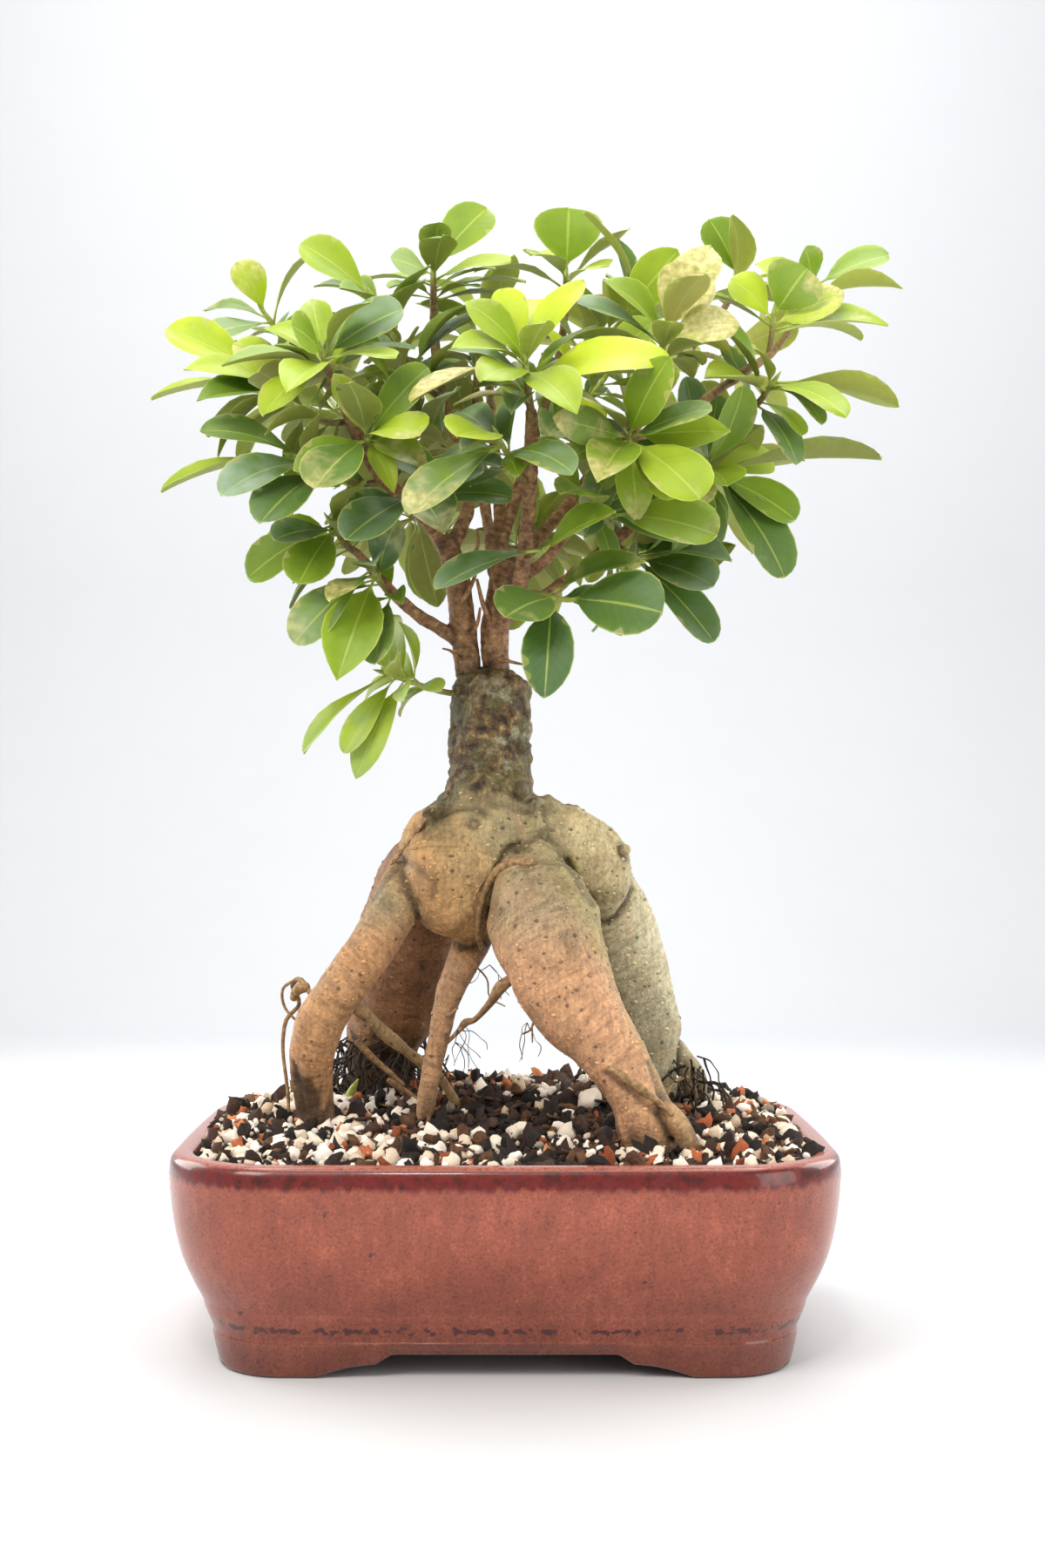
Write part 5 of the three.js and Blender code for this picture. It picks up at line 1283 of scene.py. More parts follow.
# %% Shoots and the leaves that give the crown its outline
# Each shoot's name, its branch and how far along it, its bud, and how many leaves turn round its stem,
# from which angle and how long. Then come the tips that were read off the photo, each with the
# leaf's width and how much it faces the front.
SHOOT_PARTS = ("name", "branch", "at", "tip", "leaves", "turn", "size", "aims")
SHOOTS = [dict(zip(SHOOT_PARTS, row)) for row in (
    ("front_top", "front", 1, (6, -38, 304), 3, 40, 34, [(2, -36, 326, 11, 1.8),
        (24, -40, 326, 13, 0.8), (-12, -46, 318, 14, 0.8), (-16, -54, 302, 14, 0.9),
        (-28, -50, 287, 16, 0.3), (21, -62, 281, 16, 1.4), (-7, -64, 290, 14, 1.5),
        (49, -47, 301, 18, 1.3)]),
    ("left_front", "left_reach", 1, (-56, -30, 306), 3, 80, 36, [(-64, -42, 314, 16, 1.8),
        (-31, -38, 318, 17.5, 1.5), (-32, -50, 305, 14, 0.6), (-72, -50, 283, 14, 0.4),
        (-64, -58, 288, 14, 0.8)]),
    ("left_crown", "left_up", 1, (-24, 20, 347), 4, 10, 36, [(-6, 22, 368, 18, 1.7),
        (-38, 14, 349, 16, 1.2), (2, 4, 345, 15, 0.8)]),
    ("centre_crown", "inner_up", 1, (21, 42, 352), 4, 60, 36, [(22, 40, 374, 24, 2.4),
        (10, 24, 353, 14, 0.6), (35, 22, 349, 15, 0.9)]),
    ("right_front", "right_reach", 1, (50, -20, 316), 2, 20, 36, [(60, -26, 334, 20, 2),
        (66, -8, 346, 16, 1.5), (71, -24, 323, 17.5, 1.5), (30, -30, 329, 16, 0.9),
        (22, -36, 320, 15, 0.8)]),
    ("right_top", "right_high", 0.8, (88, 8, 328), 2, 0, 34, [(98, 2, 342, 22, 2.2),
        (74, 6, 340, 16.5, 1.2), (110, 2, 334, 17.5, 1.4), (124, 0, 323, 15, 0.8)]),
    ("right_far", "right_high", 1, (105, 30, 344), 3, 50, 32, [(129, 24, 353, 16.5, 1),
        (100, 18, 354, 15, 1.2), (84, 24, 350, 16, 1)]),
    ("right_back_top", "right_back", 1, (82, 50, 352), 5, 90, 34, [(71, 46, 372, 16.5, 1.4)]),
    ("right_outer", "right_low", 1, (87, 2, 305), 2, 130, 36, [(126, -8, 295, 17.5, -0.3),
        (106, -26, 288, 15, 0.6), (62, -26, 300, 15, 0.9)]),
    ("left_outer", "left_reach", 0.78, (-77, -5, 304), 3, 15, 34, [(-108, -8, 320, 16.5, 1.4),
        (-112, -14, 296, 13, 0.3), (-100, -24, 303, 15, 0.9), (-95, -30, 292, 15, 0.9),
        (-85, -20, 312, 15, 1.2)]),
    ("left_high", "left_back", 1, (-81, 28, 334), 4, 150, 34, [(-90, 22, 350, 15, 0.9),
        (-101, 18, 324, 15, 0.8)]),
    ("left_side", "left_reach", 0.5, (-66, -16, 277), 2, 200, 34, [(-106, -30, 264, 12, 0.3),
        (-95, -24, 284, 15, 0.9), (-86, -40, 261, 15, 1.4), (-75, -46, 257, 16.5, 1.4)]),
    ("left_mid_top", "left_up", 0.68, (-43, 4, 333), 4, 100, 36, [(-66, -2, 349, 16.5, 1.4),
        (-52, -18, 330, 15, 1)]),
    ("left_low", "left_low", 1, (-55, -10, 257), 1, 30, 34, [(-82, -10, 240, 16.5, 1.4),
        (-64, -26, 236, 16.5, 1.4), (-72, -24, 250, 15, 0.9), (-78, 6, 268, 15, 1.2)]),
    ("left_low_twig", "left_low", 0.6, (-42, -16, 242), 0, 0, 36, [(-66, -22, 218, 16, 1.4),
        (-52, -28, 206, 19, 2), (-33, -26, 256, 16, 1.4)]),
    ("right_mid", "right_low", 0.72, (68, 8, 276), 2, 90, 38, [(94, 0, 260, 18, 1),
        (94, -6, 245, 17.5, 1), (122, 0, 280, 16.5, -0.2), (70, -18, 268, 16.5, 1.2)]),
    ("right_low", "right_low", 0.42, (44, 14, 249), 2, 0, 38, [(67, -6, 238, 18, 1.4),
        (72, -10, 256, 16.5, 0.9), (68, 4, 221, 15, 1.2)]),
    ("right_low_front", "front", 0.17, (18, -20, 232), 0, 180, 36, [(48, -36, 226, 24, 2.6),
        (0, -42, 224, 19, 1.5), (12, -36, 200, 16.5, 2), (45, -28, 242, 16, 0.8)]),
    ("front_low", "front", 0.42, (12, -30, 246), 0, 0, 36, [(-21, -44, 232, 14, 0.6),
        (30, -50, 255, 16, 1.2)]),
    ("left_centre", "left_reach", 0.66, (-42, -34, 279), 2, 60, 34, [(-56, -58, 260, 17.5, 1.2),
        (-25, -56, 276, 17.5, 1.2), (-46, -54, 292, 15, 0.9)]),
    ("left_centre_low", "left_reach", 0.34, (-27, -24, 264), 1, 0, 36, [(-48, -44, 247, 16.5, 1.4),
        (-18, -50, 248, 16.5, 1.5), (-14, -48, 268, 17.5, 1.4)]),
    ("front_mid", "front", 0.72, (-2, -38, 279), 1, 100, 34, [(-14, -64, 274, 17.5, 1.5),
        (-28, -60, 252, 16, 0.8), (20, -60, 264, 16, 1)]),
    ("right_centre", "right_reach", 0.72, (38, -32, 279), 2, 10, 36, [(58, -52, 258, 20, 1.4),
        (31, -58, 262, 16.5, 1.4), (62, -46, 286, 16.5, 1), (20, -54, 288, 15, 0.9)]),
    ("right_centre_low", "right_reach", 0.4, (32, -22, 258), 1, 0, 36, [(65, -34, 250, 22, 1.2),
        (18, -46, 246, 16, 1)]),
    ("right_inner", "inner_up", 0.62, (32, 14, 308), 4, 200, 34, [(49, 6, 325, 16.5, 1.2),
        (53, -16, 309, 14, 1.3)]),
    ("left_inner", "left_up", 0.5, (-37, 8, 304), 4, 20, 34, [(-48, -10, 318, 16, 1.2)]),
    ("centre_inner", "inner_left", 1, (-9, 22, 322), 4, 70, 34, [(2, 12, 342, 16, 1.2)]),
    ("right_inner_top", "inner_up", 0.8, (46, 28, 340), 4, 20, 34, [(26, 20, 366, 10, 0.3),
        (58, 22, 354, 16, 1.4)]),
    ("back_left_low", "left_back", 0.35, (-38, 50, 276), 5, 110, 38, []),
    ("back_left", "left_back", 0.68, (-62, 58, 312), 6, 60, 38, []),
    ("back_left_top", "left_back", 0.55, (-38, 48, 338), 6, 0, 36, []),
    ("back_crown", "mid_back", 1, (-8, 66, 342), 6, 30, 36, []),
    ("back_middle", "mid_back", 0.62, (-14, 76, 300), 6, 80, 38, []),
    ("back_low", "mid_back", 0.3, (14, 58, 268), 5, 10, 38, []),
    ("back_right_low", "right_back", 0.45, (48, 56, 276), 5, 45, 38, []),
    ("back_right_top", "right_back", 0.68, (38, 74, 338), 6, 70, 36, []),
    ("back_right", "right_back", 0.85, (86, 66, 324), 6, 20, 36, []),
    ("right_rear_outer", "right_low", 0.6, (78, 44, 288), 6, 0, 38, []),
    ("trunk_twig", "trunk", 0.86, (-38, -4, 210), 0, 0, 30, [(-64, -12, 184, 8, 0.4),
        (-51, -14, 184, 9, 1.7), (-46, -14, 176, 11, 1.4), (-34, -12, 226, 9, 0.6),
        (-20, -13, 204, 8, 1.6)]),
)]

# %% The places of the leaves
SHOOT_SEED = 52711
GOLDEN_ANGLE = 137.5
LEAF_THICKNESS = 0.7
TIP_MATCH = 0.02
BRANCHES = {**LEFT_SCION, **RIGHT_SCION, "trunk": ROOTS["trunk"]}
TRIES = [(turn * spread, lift * spread, roll * spread, size)
         for size in (1, 0.85, 0.7) for spread in (0, 8, 16, 26, 38)
         for turn, lift, roll in ((1, 0, 0), (-1, 0, 0), (0, 1, 0), (0, -1, 0), (0, 0, 2), (0, 0, -2))
         if spread or turn == 1]


def turned(vector, axis, degrees):
    """The vector turned round a unit axis."""
    angle = radians(degrees)
    return (vector * cos(angle) + np.cross(axis, vector) * sin(angle)
            + axis * (axis @ vector) * (1 - cos(angle)))


def point_at(stations, share):
    place = min(share, 0.9999) * (len(stations) - 1)
    i = int(place)
    a, b = np.array(stations[i][:3], float), np.array(stations[i + 1][:3], float)
    return a + (b - a) * (place - i)


def stem_stations(shoot):
    """A green stem rises from its branch to its bud in a slight bow."""
    foot = point_at(BRANCHES[shoot["branch"]], shoot["at"])
    bud = np.array(shoot["tip"], float)
    length = norm(bud - foot)
    radius = 1.3 if shoot["at"] == 1 else 1.15
    stations = []
    for share in (0, 0.4, 1):
        spot = foot + (bud - foot) * share
        spot[2] -= 0.12 * length * sin(pi * share) * (1 if bud[2] > foot[2] else -1)
        stations.append([*spot, radius - 0.35 * share])
    return stations


def planned_leaves(shoot, index):
    """The leaves that a shoot would have if nothing were in their way."""
    draw = dice(SHOOT_SEED + 97 * index)
    stations = stem_stations(shoot)
    axis = unit(np.array(shoot["tip"], float) - point_at(stations, 0.5))
    up = np.array([0.0, 0, 1])
    side = np.cross(up, axis)
    side = unit(side if norm(side) >= 0.1 else np.array([1.0, 0, 0]))
    rise = np.cross(axis, side)
    leaves = []
    for i, (x, y, z, width, face) in enumerate(shoot["aims"]):
        base = point_at(stations, 0.99 - 0.34 * (i / len(shoot["aims"])))
        leaves.append(dict(base=base, tip=np.array([x, y, z], float), up=np.array([0, -face, 1.0]),
                           width=width, arc=20 + 35 * next(draw)))
    for i in range(shoot["leaves"]):
        share = (i + 1) / (shoot["leaves"] + 1)
        base = point_at(stations, 0.45 + 0.53 * share)
        turn = radians(shoot["turn"] + GOLDEN_ANGLE * i + 16 * (next(draw) - 0.5))
        opening = radians(92 - 48 * share + 12 * (next(draw) - 0.5))
        length = shoot["size"] * (1.05 - 0.3 * share) * (0.9 + 0.2 * next(draw))
        out = side * cos(turn) + rise * sin(turn)
        along = axis * cos(opening) + out * sin(opening)
        along[2] -= 0.12
        facing = axis * sin(opening) - out * cos(opening) + np.array([0, -0.25, 0.6])
        leaves.append(dict(base=base, tip=base + unit(along) * length, up=facing,
                           width=length * (0.37 + 0.08 * next(draw)), arc=20 + 40 * next(draw)))
    return leaves


def squared(up, along):
    """The part of `up` that is square to a unit direction, one long."""
    return unit(up - along * (up @ along))


def moved(leaf, attempt):
    """A planned leaf after one of the tries."""
    turn, lift, roll, size = attempt
    up = np.array([0.0, 0, 1])
    reach = turned(leaf["tip"] - leaf["base"], up, turn)
    level = np.cross(up, reach)
    if norm(level) > 1e-6:
        reach = turned(reach, unit(level), -lift)
    reach = reach * size
    along = unit(reach)
    facing = squared(leaf["up"], along)
    return {**leaf, "tip": leaf["base"] + reach, "up": turned(facing, along, roll),
            "width": leaf["width"] * size}


def corners_of(node):
    """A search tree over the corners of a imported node, in mm round the pot's middle."""
    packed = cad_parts[node].data.vertices
    tree = kdtree.KDTree(len(packed))
    for i, corner in enumerate(packed):
        tree.insert(np.array(corner.co) / MM - POT_MIDDLE, i)
    tree.balance()
    return tree


def placed_leaves(shoot, index):
    """The shoot's leaves where the frame has them."""
    tree = corners_of(f"shoot_{shoot['name']}")
    found = []
    for leaf in planned_leaves(shoot, index):
        for attempt in TRIES:
            trial = moved(leaf, attempt)
            half = radians(trial["arc"]) / 2
            along = unit(trial["tip"] - trial["base"])
            tip_up = trial["up"] * cos(half) + along * sin(half)
            ends = [trial["tip"] + tip_up * side * LEAF_THICKNESS / 2 for side in (-1, 1)]
            if all(tree.find(end)[2] < TIP_MATCH for end in ends):
                found.append(trial)
                break
    return found


shoots = [(shoot, placed_leaves(shoot, index)) for index, shoot in enumerate(SHOOTS)]
planned = sum(s["leaves"] + len(s["aims"]) for s in SHOOTS)
print("leaves found in the frame:", sum(len(leaves) for _, leaves in shoots), "of", planned)

# %% [markdown]
# ## Leaves inside the crown
# The frame holds the leaves that give the crown its outline. A living crown is closer than that, so
# each shoot gets a few more inside the same outline. Each is tried at a drawn place on the stem and
# kept where its blade clears every other blade and the wood by a few millimetres.

# %% Inner leaves
INNER_SEED = 8089
INNER_TRIES = 150
INNER_WANTED = 14
LEAF_CLEARANCE = 2.6
CROWN_MIDDLE = np.array([-4.0, 0, 262])
CROWN_REACH = np.array([106.0, 74, 98])


def blade_spots(leaf):
    """Fifteen points spread over a blade."""
    reach = leaf["tip"] - leaf["base"]
    along = unit(reach)
    up = squared(leaf["up"], along)
    across = np.cross(along, up) * leaf["width"] * 0.38
    bow = 2 * norm(reach) * tan(radians(leaf["arc"]) / 4)
    return np.array([leaf["base"] + reach * s + across * side + up * bow * s * (1 - s)
                     for s in (0.3, 0.48, 0.66, 0.84, 1) for side in (-1, 0, 1)])


def inner_leaf(shoot, stations, draw):
    """One leaf at a drawn place on a stem."""
    axis = unit(np.array(stations[-1][:3]) - np.array(stations[0][:3]))
    side = np.cross(axis, [0.3, 0.2, 1.0])
    side = turned(unit(side), axis, 360 * next(draw))
    opening = radians(48 + 50 * next(draw))
    along = unit(axis * cos(opening) + side * sin(opening) + np.array([0, 0, 0.12]))
    length = shoot["size"] * (0.52 + 0.4 * next(draw))
    base = point_at(stations, 0.12 + 0.85 * next(draw))
    facing = axis * sin(opening) - side * cos(opening) + np.array([0, -0.3, 0.7])
    return dict(base=base, tip=base + along * length, up=facing, width=length * (0.36 + 0.1 * next(draw)),
                arc=24 + 34 * next(draw))


def fill_crown():
    draw = dice(INNER_SEED)
    wood = [through(stations, 4)[:, :3] for stations in BRANCHES.values()]
    filled = np.vstack([blade_spots(leaf) for _, leaves in shoots for leaf in leaves] + wood)
    count = 0
    for shoot, leaves in shoots:
        stations = stem_stations(shoot)
        kept = 0
        for _ in range(INNER_TRIES):
            leaf = inner_leaf(shoot, stations, draw)
            spots = blade_spots(leaf)
            inside = norm((spots - CROWN_MIDDLE) / CROWN_REACH, axis=1).max() < 1
            # The bare wood low between the scions stays in view.
            before_wood = (np.abs(spots[:, 0] + 4) < 24) & (spots[:, 1] < 8) & (spots[:, 2] < 262)
            gaps = norm(spots[:, None] - filled[None], axis=2)
            if inside and not before_wood.any() and gaps.min() > LEAF_CLEARANCE and kept < INNER_WANTED:
                leaves.append({**leaf, "inner": True})
                filled = np.vstack([filled, spots])
                kept += 1
        count += kept
    print("inner leaves added:", count)


fill_crown()

# %% [markdown]
# ## A leaf's shape
# One leaf is a short stalk and a blade that widens like a wedge and ends in a round tip. It
# is folded a little along its midrib, bowed from base to tip, and waved at its edge. Fifteen such
# leaves, in five bows and three outlines, stand for all of them. A node tree sets one on each place
# and stretches it to its length and width, so hundreds of leaves cost a few dozen faces each.

# %% Fifteen leaf kinds
LEAF_BOWS = (22, 31, 40, 49, 57)
OUTLINES = (dict(wedge=1.0, round_tip=0.52, fold=0.16, wave=0.012),
            dict(wedge=0.92, round_tip=0.72, fold=0.1, wave=0.02),
            dict(wedge=0.95, round_tip=1.0, fold=0.22, wave=0.008))
LEAF_STATIONS = (0, 0.13, 0.19, 0.28, 0.4, 0.53, 0.66, 0.78, 0.88, 0.95, 0.985, 1)
STALK_END = 0.15
STALK_WIDTH = 0.05
STALK_DEPTH = 0.013


def blade_width(share, wedge, round_tip):
    """Half width of the blade as a share of the largest, at a share of the leaf's length."""
    if share <= STALK_END:
        return STALK_WIDTH
    way = (share - STALK_END) / (1 - STALK_END)
    widest = wedge / (wedge + round_tip)
    body = (way / widest) ** wedge * ((1 - way) / (1 - widest)) ** round_tip
    return max(body, STALK_WIDTH)


def leaf_kind(name, bow, wedge, round_tip, fold, wave):
    """A leaf one unit long and wide: x across, y from base to tip, z up."""
    half = radians(bow) / 2
    radius = 1 / (2 * sin(half))
    columns = (-1, -0.55, 0, 0.55, 1)
    strips = range(len(columns) - 1)
    tops, unders = [], []
    points, spots = [], []
    for share in LEAF_STATIONS:
        angle = (2 * share - 1) * half
        middle = np.array([0, radius * (sin(angle) + sin(half)),
                           radius * (cos(angle) - cos(half))])
        up = np.array([0, sin(angle), cos(angle)])
        width = blade_width(share, wedge, round_tip)
        blade = smoothstep(STALK_END - 0.02, STALK_END + 0.12, share)
        thick = STALK_DEPTH * (1 - blade) + 0.006 * blade
        top_row, under_row = [], []
        for column in columns:
            waved = wave * sin(9 * share + 2.1 * column) * abs(column) * blade
            rise = fold * abs(column) * width * 0.5 * blade + waved
            droop = -0.05 * column * column * blade * width * 0.5
            edge = 1 - 0.85 * column * column * blade
            at = middle + up * (rise + droop) + np.array([column * width / 2, 0, 0])
            if column in (-1, 1):
                top_row.append(len(points))
                under_row.append(len(points))
                points.append(at)
                spots.append((share, column))
            else:
                round_stalk = 1 if blade > 0.5 else sqrt(1 - column * column)
                for row, sign in ((top_row, 1), (under_row, -1)):
                    row.append(len(points))
                    rib = -0.6 if column == 0 and sign > 0 and blade > 0.5 else 1
                    rib = 2.2 if column == 0 and sign < 0 and blade > 0.5 else rib
                    points.append(at + up * sign * thick * edge * rib * round_stalk)
                    spots.append((share, column))
        tops.append(top_row)
        unders.append(under_row)
    faces, below = [], []
    for rows, under, left, right in ((tops, False, 0, 1), (unders, True, 1, 0)):
        for a, b in zip(rows, rows[1:]):
            faces += [(a[i + left], a[i + right], b[i + right], b[i + left]) for i in strips]
            below += [under] * len(strips)
    for row_top, row_under, flip in ((tops[0], unders[0], False), (tops[-1], unders[-1], True)):
        for i in strips:
            edge_face = [row_top[i + 1], row_top[i], row_under[i], row_under[i + 1]]
            edge_face = list(dict.fromkeys(edge_face[::-1] if flip else edge_face))
            if len(edge_face) > 2:
                faces.append(tuple(edge_face))
                below.append(False)
    mesh = bpy.data.meshes.new(name)
    mesh.from_pydata([tuple(p) for p in points], [], faces)
    mesh.polygons.foreach_set("use_smooth", [True] * len(faces))
    mesh.attributes.new("under", "BOOLEAN", "FACE").data.foreach_set("value", below)
    rims = {frozenset(pair) for row in zip(tops, tops[1:]) for pair in ((row[0][0], row[1][0]),
                                                                      (row[0][-1], row[1][-1]))}
    sharp = [frozenset(edge.vertices) in rims for edge in mesh.edges]
    mesh.attributes.new("sharp_edge", "BOOLEAN", "EDGE").data.foreach_set("value", sharp)
    layer = mesh.uv_layers.new(name="blade")
    for loop in mesh.loops:
        share, column = spots[loop.vertex_index]
        layer.data[loop.index].uv = (share, 0.5 + 0.5 * column)
    return bpy.data.objects.new(name, mesh)


leaf_box = bpy.data.collections.new("leaf_kinds")
for i, bow in enumerate(LEAF_BOWS):
    for k, outline_kind in enumerate(OUTLINES):
        leaf_box.objects.link(leaf_kind(f"leaf_{i}{k}", bow, **outline_kind))

# %% A node tree that sets leaves on a stem
def leafing_tree():
    tree, add, given, identifiers = new_tree("leafy_shoot", [
        ("Leaf Kinds", "Collection"), ("Upper Side", "Material"), ("Under Side", "Material")])
    spot, kind, turn, size, under = (
        add("InputNamedAttribute", name=title, data_type=sort)
        for title, sort in (("leaf_spot", "BOOLEAN"), ("kind", "INT"), ("turn", "FLOAT_VECTOR"),
                            ("size", "FLOAT_VECTOR"), ("under", "BOOLEAN")))
    parted = add("SeparateGeometry", geometry=given["Geometry"], selection=spot, domain="POINT")
    kinds = add("CollectionInfo", collection=given["Leaf Kinds"], separate_children=True,
                reset_children=True)
    turn = add("EulerToRotation", euler=turn)
    leaves = add("InstanceOnPoints", points=parted.outputs["Selection"], instance=kinds,
                 pick_instance=True, instance_index=kind, rotation=turn, scale=size)
    real = add("RealizeInstances", geometry=leaves)
    upper = add("SetMaterial", geometry=real, material=given["Upper Side"])
    both = add("SetMaterial", geometry=upper, selection=under, material=given["Under Side"])
    whole = add("JoinGeometry", geometry=both)
    tree.links.new(parted.outputs["Inverted"], whole.inputs["Geometry"])
    add("GroupOutput", geometry=whole)
    return tree, identifiers


LEAFING_TREE, LEAFING_INPUTS = leafing_tree()

# %% [markdown]
# ## Leaf finishes
# A fig leaf is glossy because of its waxy skin, and its green deepens with age: the newest leaves
# are lime, the lower ones dark. Hard water leaves a blue-white film on the upper side, and some
# leaves are scorched to a pale tan. The veins are read from the blade's own map: the midrib runs
# along it and about nine pairs of side veins leave it at a steep slant.

# %% Leaf and stem materials
def leaf_map(add):
    """From 0 to 1: the veins, the pale margin and the way along the blade."""
    spread = add("UVMap", uv_map="blade").outputs["UV"]
    split = add("SeparateXYZ", spread)
    share = split.outputs["X"]
    off = add("Math.SUBTRACT", split.outputs["Y"], 0.5)
    off = add("Math.ABSOLUTE", off)
    midrib = add("MapRange", off, 0.008, 0.032, 0.9, 0)
    slant = add("Math.MULTIPLY_ADD", off, -0.42, share)
    beat = add("Math.MULTIPLY", slant, 11)
    beat = add("Math.PINGPONG", beat, 0.5)
    side = add("MapRange", beat, 0.02, 0.12, 0.06, 0)
    veins = add("Math.MAXIMUM", midrib, side)
    rim = add("MapRange", off, 0.468, 0.492, 0, 0.5)
    tip = add("MapRange", share, 0.98, 0.995, 0, 0.5)
    stalk = add("MapRange", share, 0.14, 0.2, 0.6, 0)
    margin = add("Math.MAXIMUM", rim, tip)
    margin = add("Math.MAXIMUM", margin, stalk)
    return veins, margin, share


def leaf_green(add, pattern, swing, age, stops, veins, vein_share, vein_tone):
    """The green of a leaf of that age, drifting with a pattern and paler on the veins."""
    shifted = add("Math.MULTIPLY_ADD", pattern, swing, -swing / 2)
    green = add("ValToRGB", add("Math.ADD", shifted, age), stops=stops)
    return add("Mix.RGBA", add("Math.MULTIPLY", veins, vein_share), green, vein_tone)


def close_leaf(add, tone, margin, margin_tone, veins, rise, mottle, rough, gloss):
    """A pale margin, raised or sunken veins, and a waxy skin that lets a little light in."""
    tone = add("Mix.RGBA", margin, tone, margin_tone)
    height = add("Math.MULTIPLY_ADD", veins, rise, mottle)
    bump = add("Bump", height=height, strength=0.3, distance=0.25 * MM)
    add("OutputMaterial", add("BsdfPrincipled", base_color=tone, roughness=rough, ior=1.45,
                              specular_ior_level=gloss, normal=bump, subsurface_weight=0.1,
                              subsurface_scale=1.2 * MM, subsurface_radius=(0.6, 1.0, 0.2)))


def leaf_top():
    material, add, place = new_material("fig_leaf_upper_side")
    age, film, scorch = (add("Attribute", attribute_name=name).outputs["Fac"]
                         for name in ("age", "film", "scorch"))
    veins, margin, share = leaf_map(add)
    clouds = add("TexNoise", place, per(9), detail=2)
    mottle = add("TexNoise", place, per(2.2), detail=3)
    green = leaf_green(add, clouds, 0.24, age, [(0.0, "c4d82a"), (0.18, "a2b82e"), (0.42, "7f9a28"),
                                                (0.68, "58762c"), (1.0, "38582a")], veins, 0.6, "b9c95e")
    # Hard water dries where it last stood, towards the drooping tip.
    stood = add("Math.MULTIPLY_ADD", share, 0.7, clouds)
    stood = add("MapRange", stood, 0.75, 1.25)
    green = add("Mix.RGBA", add("Math.MULTIPLY", stood, film), green, "9fb5a0")
    burnt = add("Math.MULTIPLY_ADD", clouds, 0.8, scorch)
    burnt = add("Math.MULTIPLY_ADD", share, 0.3, burnt)
    burnt = add("MapRange", burnt, 0.98, 1.25, 0, 0.9)
    tanned = add("ValToRGB", mottle, stops=[(0.35, "a39c5a"), (0.65, "d6cd8e")])
    tone = add("Mix.RGBA", burnt, green, tanned)
    close_leaf(add, tone, margin, "c4d063", veins, -0.8, mottle, 0.42, 0.32)
    return material


def leaf_underside():
    material, add, place = new_material("fig_leaf_underside")
    age, scorch = (add("Attribute", attribute_name=name).outputs["Fac"] for name in ("age", "scorch"))
    veins, margin, _ = leaf_map(add)
    mottle = add("TexNoise", place, per(2.4), detail=3)
    green = leaf_green(add, mottle, 0.36, age, [(0.0, "b6be58"), (0.5, "979c50"), (1.0, "74823f")], veins,
                       0.7, "bcc67a")
    tone = add("Mix.RGBA", add("Math.MULTIPLY", scorch, 0.7), green, "b6a76a")
    close_leaf(add, tone, margin, "c0cb74", veins, 0.8, mottle, 0.55, 0.25)
    return material


def green_stem():
    material, add, place = new_material("fig_young_stem")
    young = add("Attribute", attribute_name="age").outputs["Fac"]
    mottle = add("TexNoise", place, per(1.2), detail=3)
    wood = add("ValToRGB", mottle, stops=[(0.35, "6a5331"), (0.65, "8d7549")])
    fresh = add("ValToRGB", mottle, stops=[(0.35, "8a9a3f"), (0.65, "a9b65a")])
    tone = add("Mix.RGBA", young, fresh, wood)
    bump = add("Bump", height=mottle, strength=0.3, distance=0.15 * MM)
    add("OutputMaterial", add("BsdfPrincipled", base_color=tone, roughness=0.5, normal=bump))
    return material


upper_finish, under_finish, stem_finish = leaf_top(), leaf_underside(), green_stem()

# %% Shoots with their leaves
STEM_SIDES = 8
BLEACHED = [(-10, 293), (52, 330), (55, 318), (-42, 345), (-5, 350)]
FRESH = [(28, 300), (2, 315), (15, 315)]
BLEACHED_REACH = 9
FRESH_REACH = 6


def leaf_pose(leaf):
    """The turn that lays a leaf's own axes, x across and y along, on its place."""
    along = unit(leaf["tip"] - leaf["base"])
    up = squared(leaf["up"], along)
    return Matrix(np.array([np.cross(along, up), along, up]).T.tolist()).to_euler()


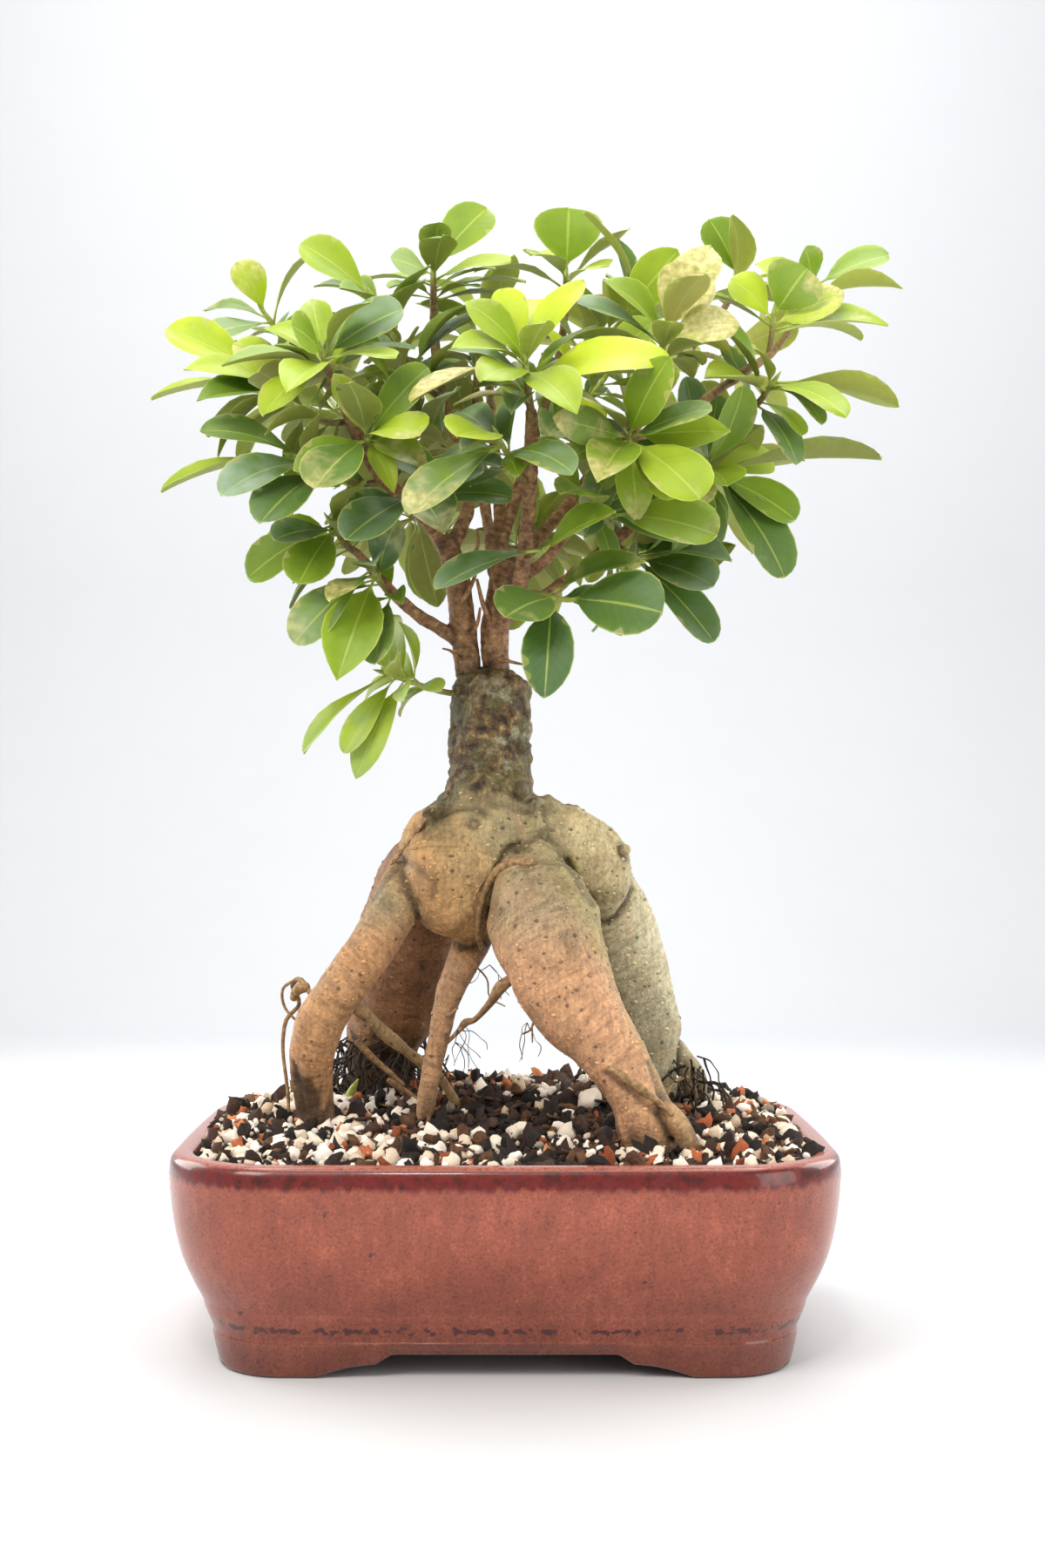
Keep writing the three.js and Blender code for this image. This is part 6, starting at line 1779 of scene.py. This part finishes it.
def leafy_shoot(shoot, leaves, seed):
    draw = dice(seed)
    stations = stem_stations(shoot)
    shapes = [limb(stations, STEM_SIDES, 5)]
    foot, bud = np.array(stations[-2][:3]), np.array(stations[-1][:3])
    onward = unit(bud - foot)
    shapes.append(limb([[*(bud - onward * 0.5), 0.85], [*(bud + onward * 1.8), 0.75],
                        [*(bud + onward * 4.6), 0.15]], STEM_SIDES, 4))
    points, faces = gathered(shapes)
    stem_count = len(points)
    spots = np.array([leaf["base"] for leaf in leaves]).reshape(-1, 3)
    made = new_mesh(f"leafy_{shoot['name']}", np.vstack([points, spots]), faces)
    coat(made, stem_finish)
    total = stem_count + len(leaves)
    turn, size = np.zeros((total, 3)), np.ones((total, 3))
    kind, age, film, scorch = np.zeros(total, int), np.zeros(total), np.zeros(total), np.zeros(total)
    away = norm(points - np.array(stations[0][:3]), axis=1)
    age[:stem_count] = 1 - smoothstep(4, 0.8 * away.max(), away)
    for i, leaf in enumerate(leaves, stem_count):
        length = norm(leaf["tip"] - leaf["base"])
        turn[i] = leaf_pose(leaf)
        size[i] = (leaf["width"] * MM, length * MM, length * MM)
        bow = min(range(len(LEAF_BOWS)), key=lambda k: abs(LEAF_BOWS[k] - leaf["arc"]))
        kind[i] = bow * len(OUTLINES) + int(next(draw) * len(OUTLINES))
        x, y, z = (leaf["tip"] + leaf["base"]) / 2
        outward = hypot(x / 120, y / 90, (z - 190) / 185)
        age[i] = min(max(0.92 - 0.52 * outward + 0.6 * (next(draw) - 0.5), 0.16), 0.92)
        film[i] = smoothstep(0.45, 0.8, age[i]) * next(draw) ** 1.5 * 0.8
        scorch[i] = 0.5 * next(draw) ** 2
        if y < -5 and min(hypot(x - a, z - b) for a, b in BLEACHED) < BLEACHED_REACH:
            scorch[i] = 0.75
        if y < 20 and min(hypot(x - a, z - b) for a, b in FRESH) < FRESH_REACH:
            age[i], film[i], scorch[i] = 0.08, 0, 0
        if shoot["name"] == "trunk_twig":
            age[i], film[i], scorch[i] = 0.3, 0.3, 0.1
    for title, values, sort in (("leaf_spot", np.arange(total) >= stem_count, "BOOLEAN"),
                                ("turn", turn, "FLOAT_VECTOR"), ("size", size, "FLOAT_VECTOR"),
                                ("kind", kind, "INT"), ("age", age, "FLOAT"), ("film", film, "FLOAT"),
                                ("scorch", scorch, "FLOAT")):
        store(made, title, values, sort)
    return run_tree(made, "leaves", LEAFING_TREE, LEAFING_INPUTS, leaf_kinds=leaf_box,
                    upper_side=upper_finish, under_side=under_finish)


for number, (shoot, leaves) in enumerate(shoots):
    spray = leafy_shoot(shoot, leaves, 900 + 31 * number)
    finished(spray, "fig_foliage", f"shoot_{shoot['name']}")

# %% A seedling in the soil
blade = new_mesh("seedling_blade", *limb([[-54, 16, 65, 0.7], [-52.5, 15, 70, 1.3], [-50.5, 14, 74, 1.2],
                                          [-48.5, 13, 77.5, 0.3]], 8, 5))
coat(blade, stem_finish)
finished(blade, "fig_foliage")

# %% [markdown]
# ## Floor, light and camera
# The piece stands on a pale floor that curves up behind it, under broad soft lights as in a small
# studio. The camera looks level along the depth axis from a little over half a metre, with a small
# lens shift, because the photo shows the rim almost edge-on and all upright lines parallel.

# %% Floor
def studio_paper():
    material, add, place = new_material("matte_studio_paper")
    fibre = add("TexNoise", place, per(40), detail=2)
    tone = add("ValToRGB", fibre, stops=[(0.3, "ced1d6"), (0.7, "cfd2d7")])
    add("OutputMaterial", add("BsdfPrincipled", base_color=tone, roughness=0.9))
    return material


# The paper hangs far enough back for a camera to stand in front of it on every side.
profile = [(-1400, 0)] + [(850 + 400 * sin(a), 400 - 400 * cos(a))
                          for a in np.linspace(0, pi / 2, 15)] + [(1250, 1900)]
sheet = [(x, y, z - 0.05) for y, z in profile for x in (-1600, 1600)]
floor = new_mesh("studio_floor", sheet, [(2 * i, 2 * i + 1, 2 * i + 3, 2 * i + 2)
                                         for i in range(len(profile) - 1)])
coat(floor, studio_paper())
floor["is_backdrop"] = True

# %% Lights
def panel(name, place, size, power, tone, target=(0, 0, 150)):
    """A soft square light of that many mm, turned to the target."""
    lamp = bpy.data.lights.new(name, "AREA")
    lamp.size = size * MM
    lamp.energy = power
    lamp.color = colour(tone)[:3]
    made = shown(name, lamp)
    place, target = (np.array(p, float) + POT_MIDDLE for p in (place, target))
    made.location = place * MM
    made.rotation_euler = Vector(target - place).to_track_quat("-Z", "Y").to_euler()


panel("key_light", (-520, -620, 760), 480, 6.4, "fff7ec")
panel("rim_light", (-80, -640, 820), 80, 1.5, "fffaf2", (-40, -78, 63))
panel("fill_light", (700, -560, 330), 600, 3.2, "fbf7f0")
panel("top_light", (60, 0, 980), 700, 3.9, "fffdf8")
panel("left_edge_light", (-580, 260, 320), 420, 2.8, "fffdf8")
panel("right_edge_light", (580, 260, 340), 420, 2.6, "fffdf8")
panel("backdrop_light", (0, 420, 1250), 900, 12, "fffefc", (0, 1250, 300))
world = bpy.data.worlds.new("studio")
world.use_nodes = True
world.node_tree.nodes["Background"].inputs["Color"].default_value = colour("f4f2ee")
world.node_tree.nodes["Background"].inputs["Strength"].default_value = 0.5
bpy.context.scene.world = world
bpy.context.scene.view_settings.view_transform = "Standard"

# %% Camera
# The lens shift is in pixels of the photo's height.
PHOTO_HEIGHT = 1800
lens = bpy.data.cameras.new("camera")
lens.lens = 44
lens.sensor_width = 36
lens.shift_x = 20 / PHOTO_HEIGHT
lens.shift_y = 52 / PHOTO_HEIGHT
lens.clip_start = 0.05
camera = shown("camera", lens)
camera.location = (np.array([0, -620, 160]) + POT_MIDDLE) * MM
camera.rotation_euler = (pi / 2, 0, 0)
bpy.context.scene.camera = camera

dressed_box = [list(corner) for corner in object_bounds()]
for title, box in (("dressed", dressed_box), ("frame", cad_box)):
    print(title, "box in mm:", (np.array(box) / MM).round(1).tolist())
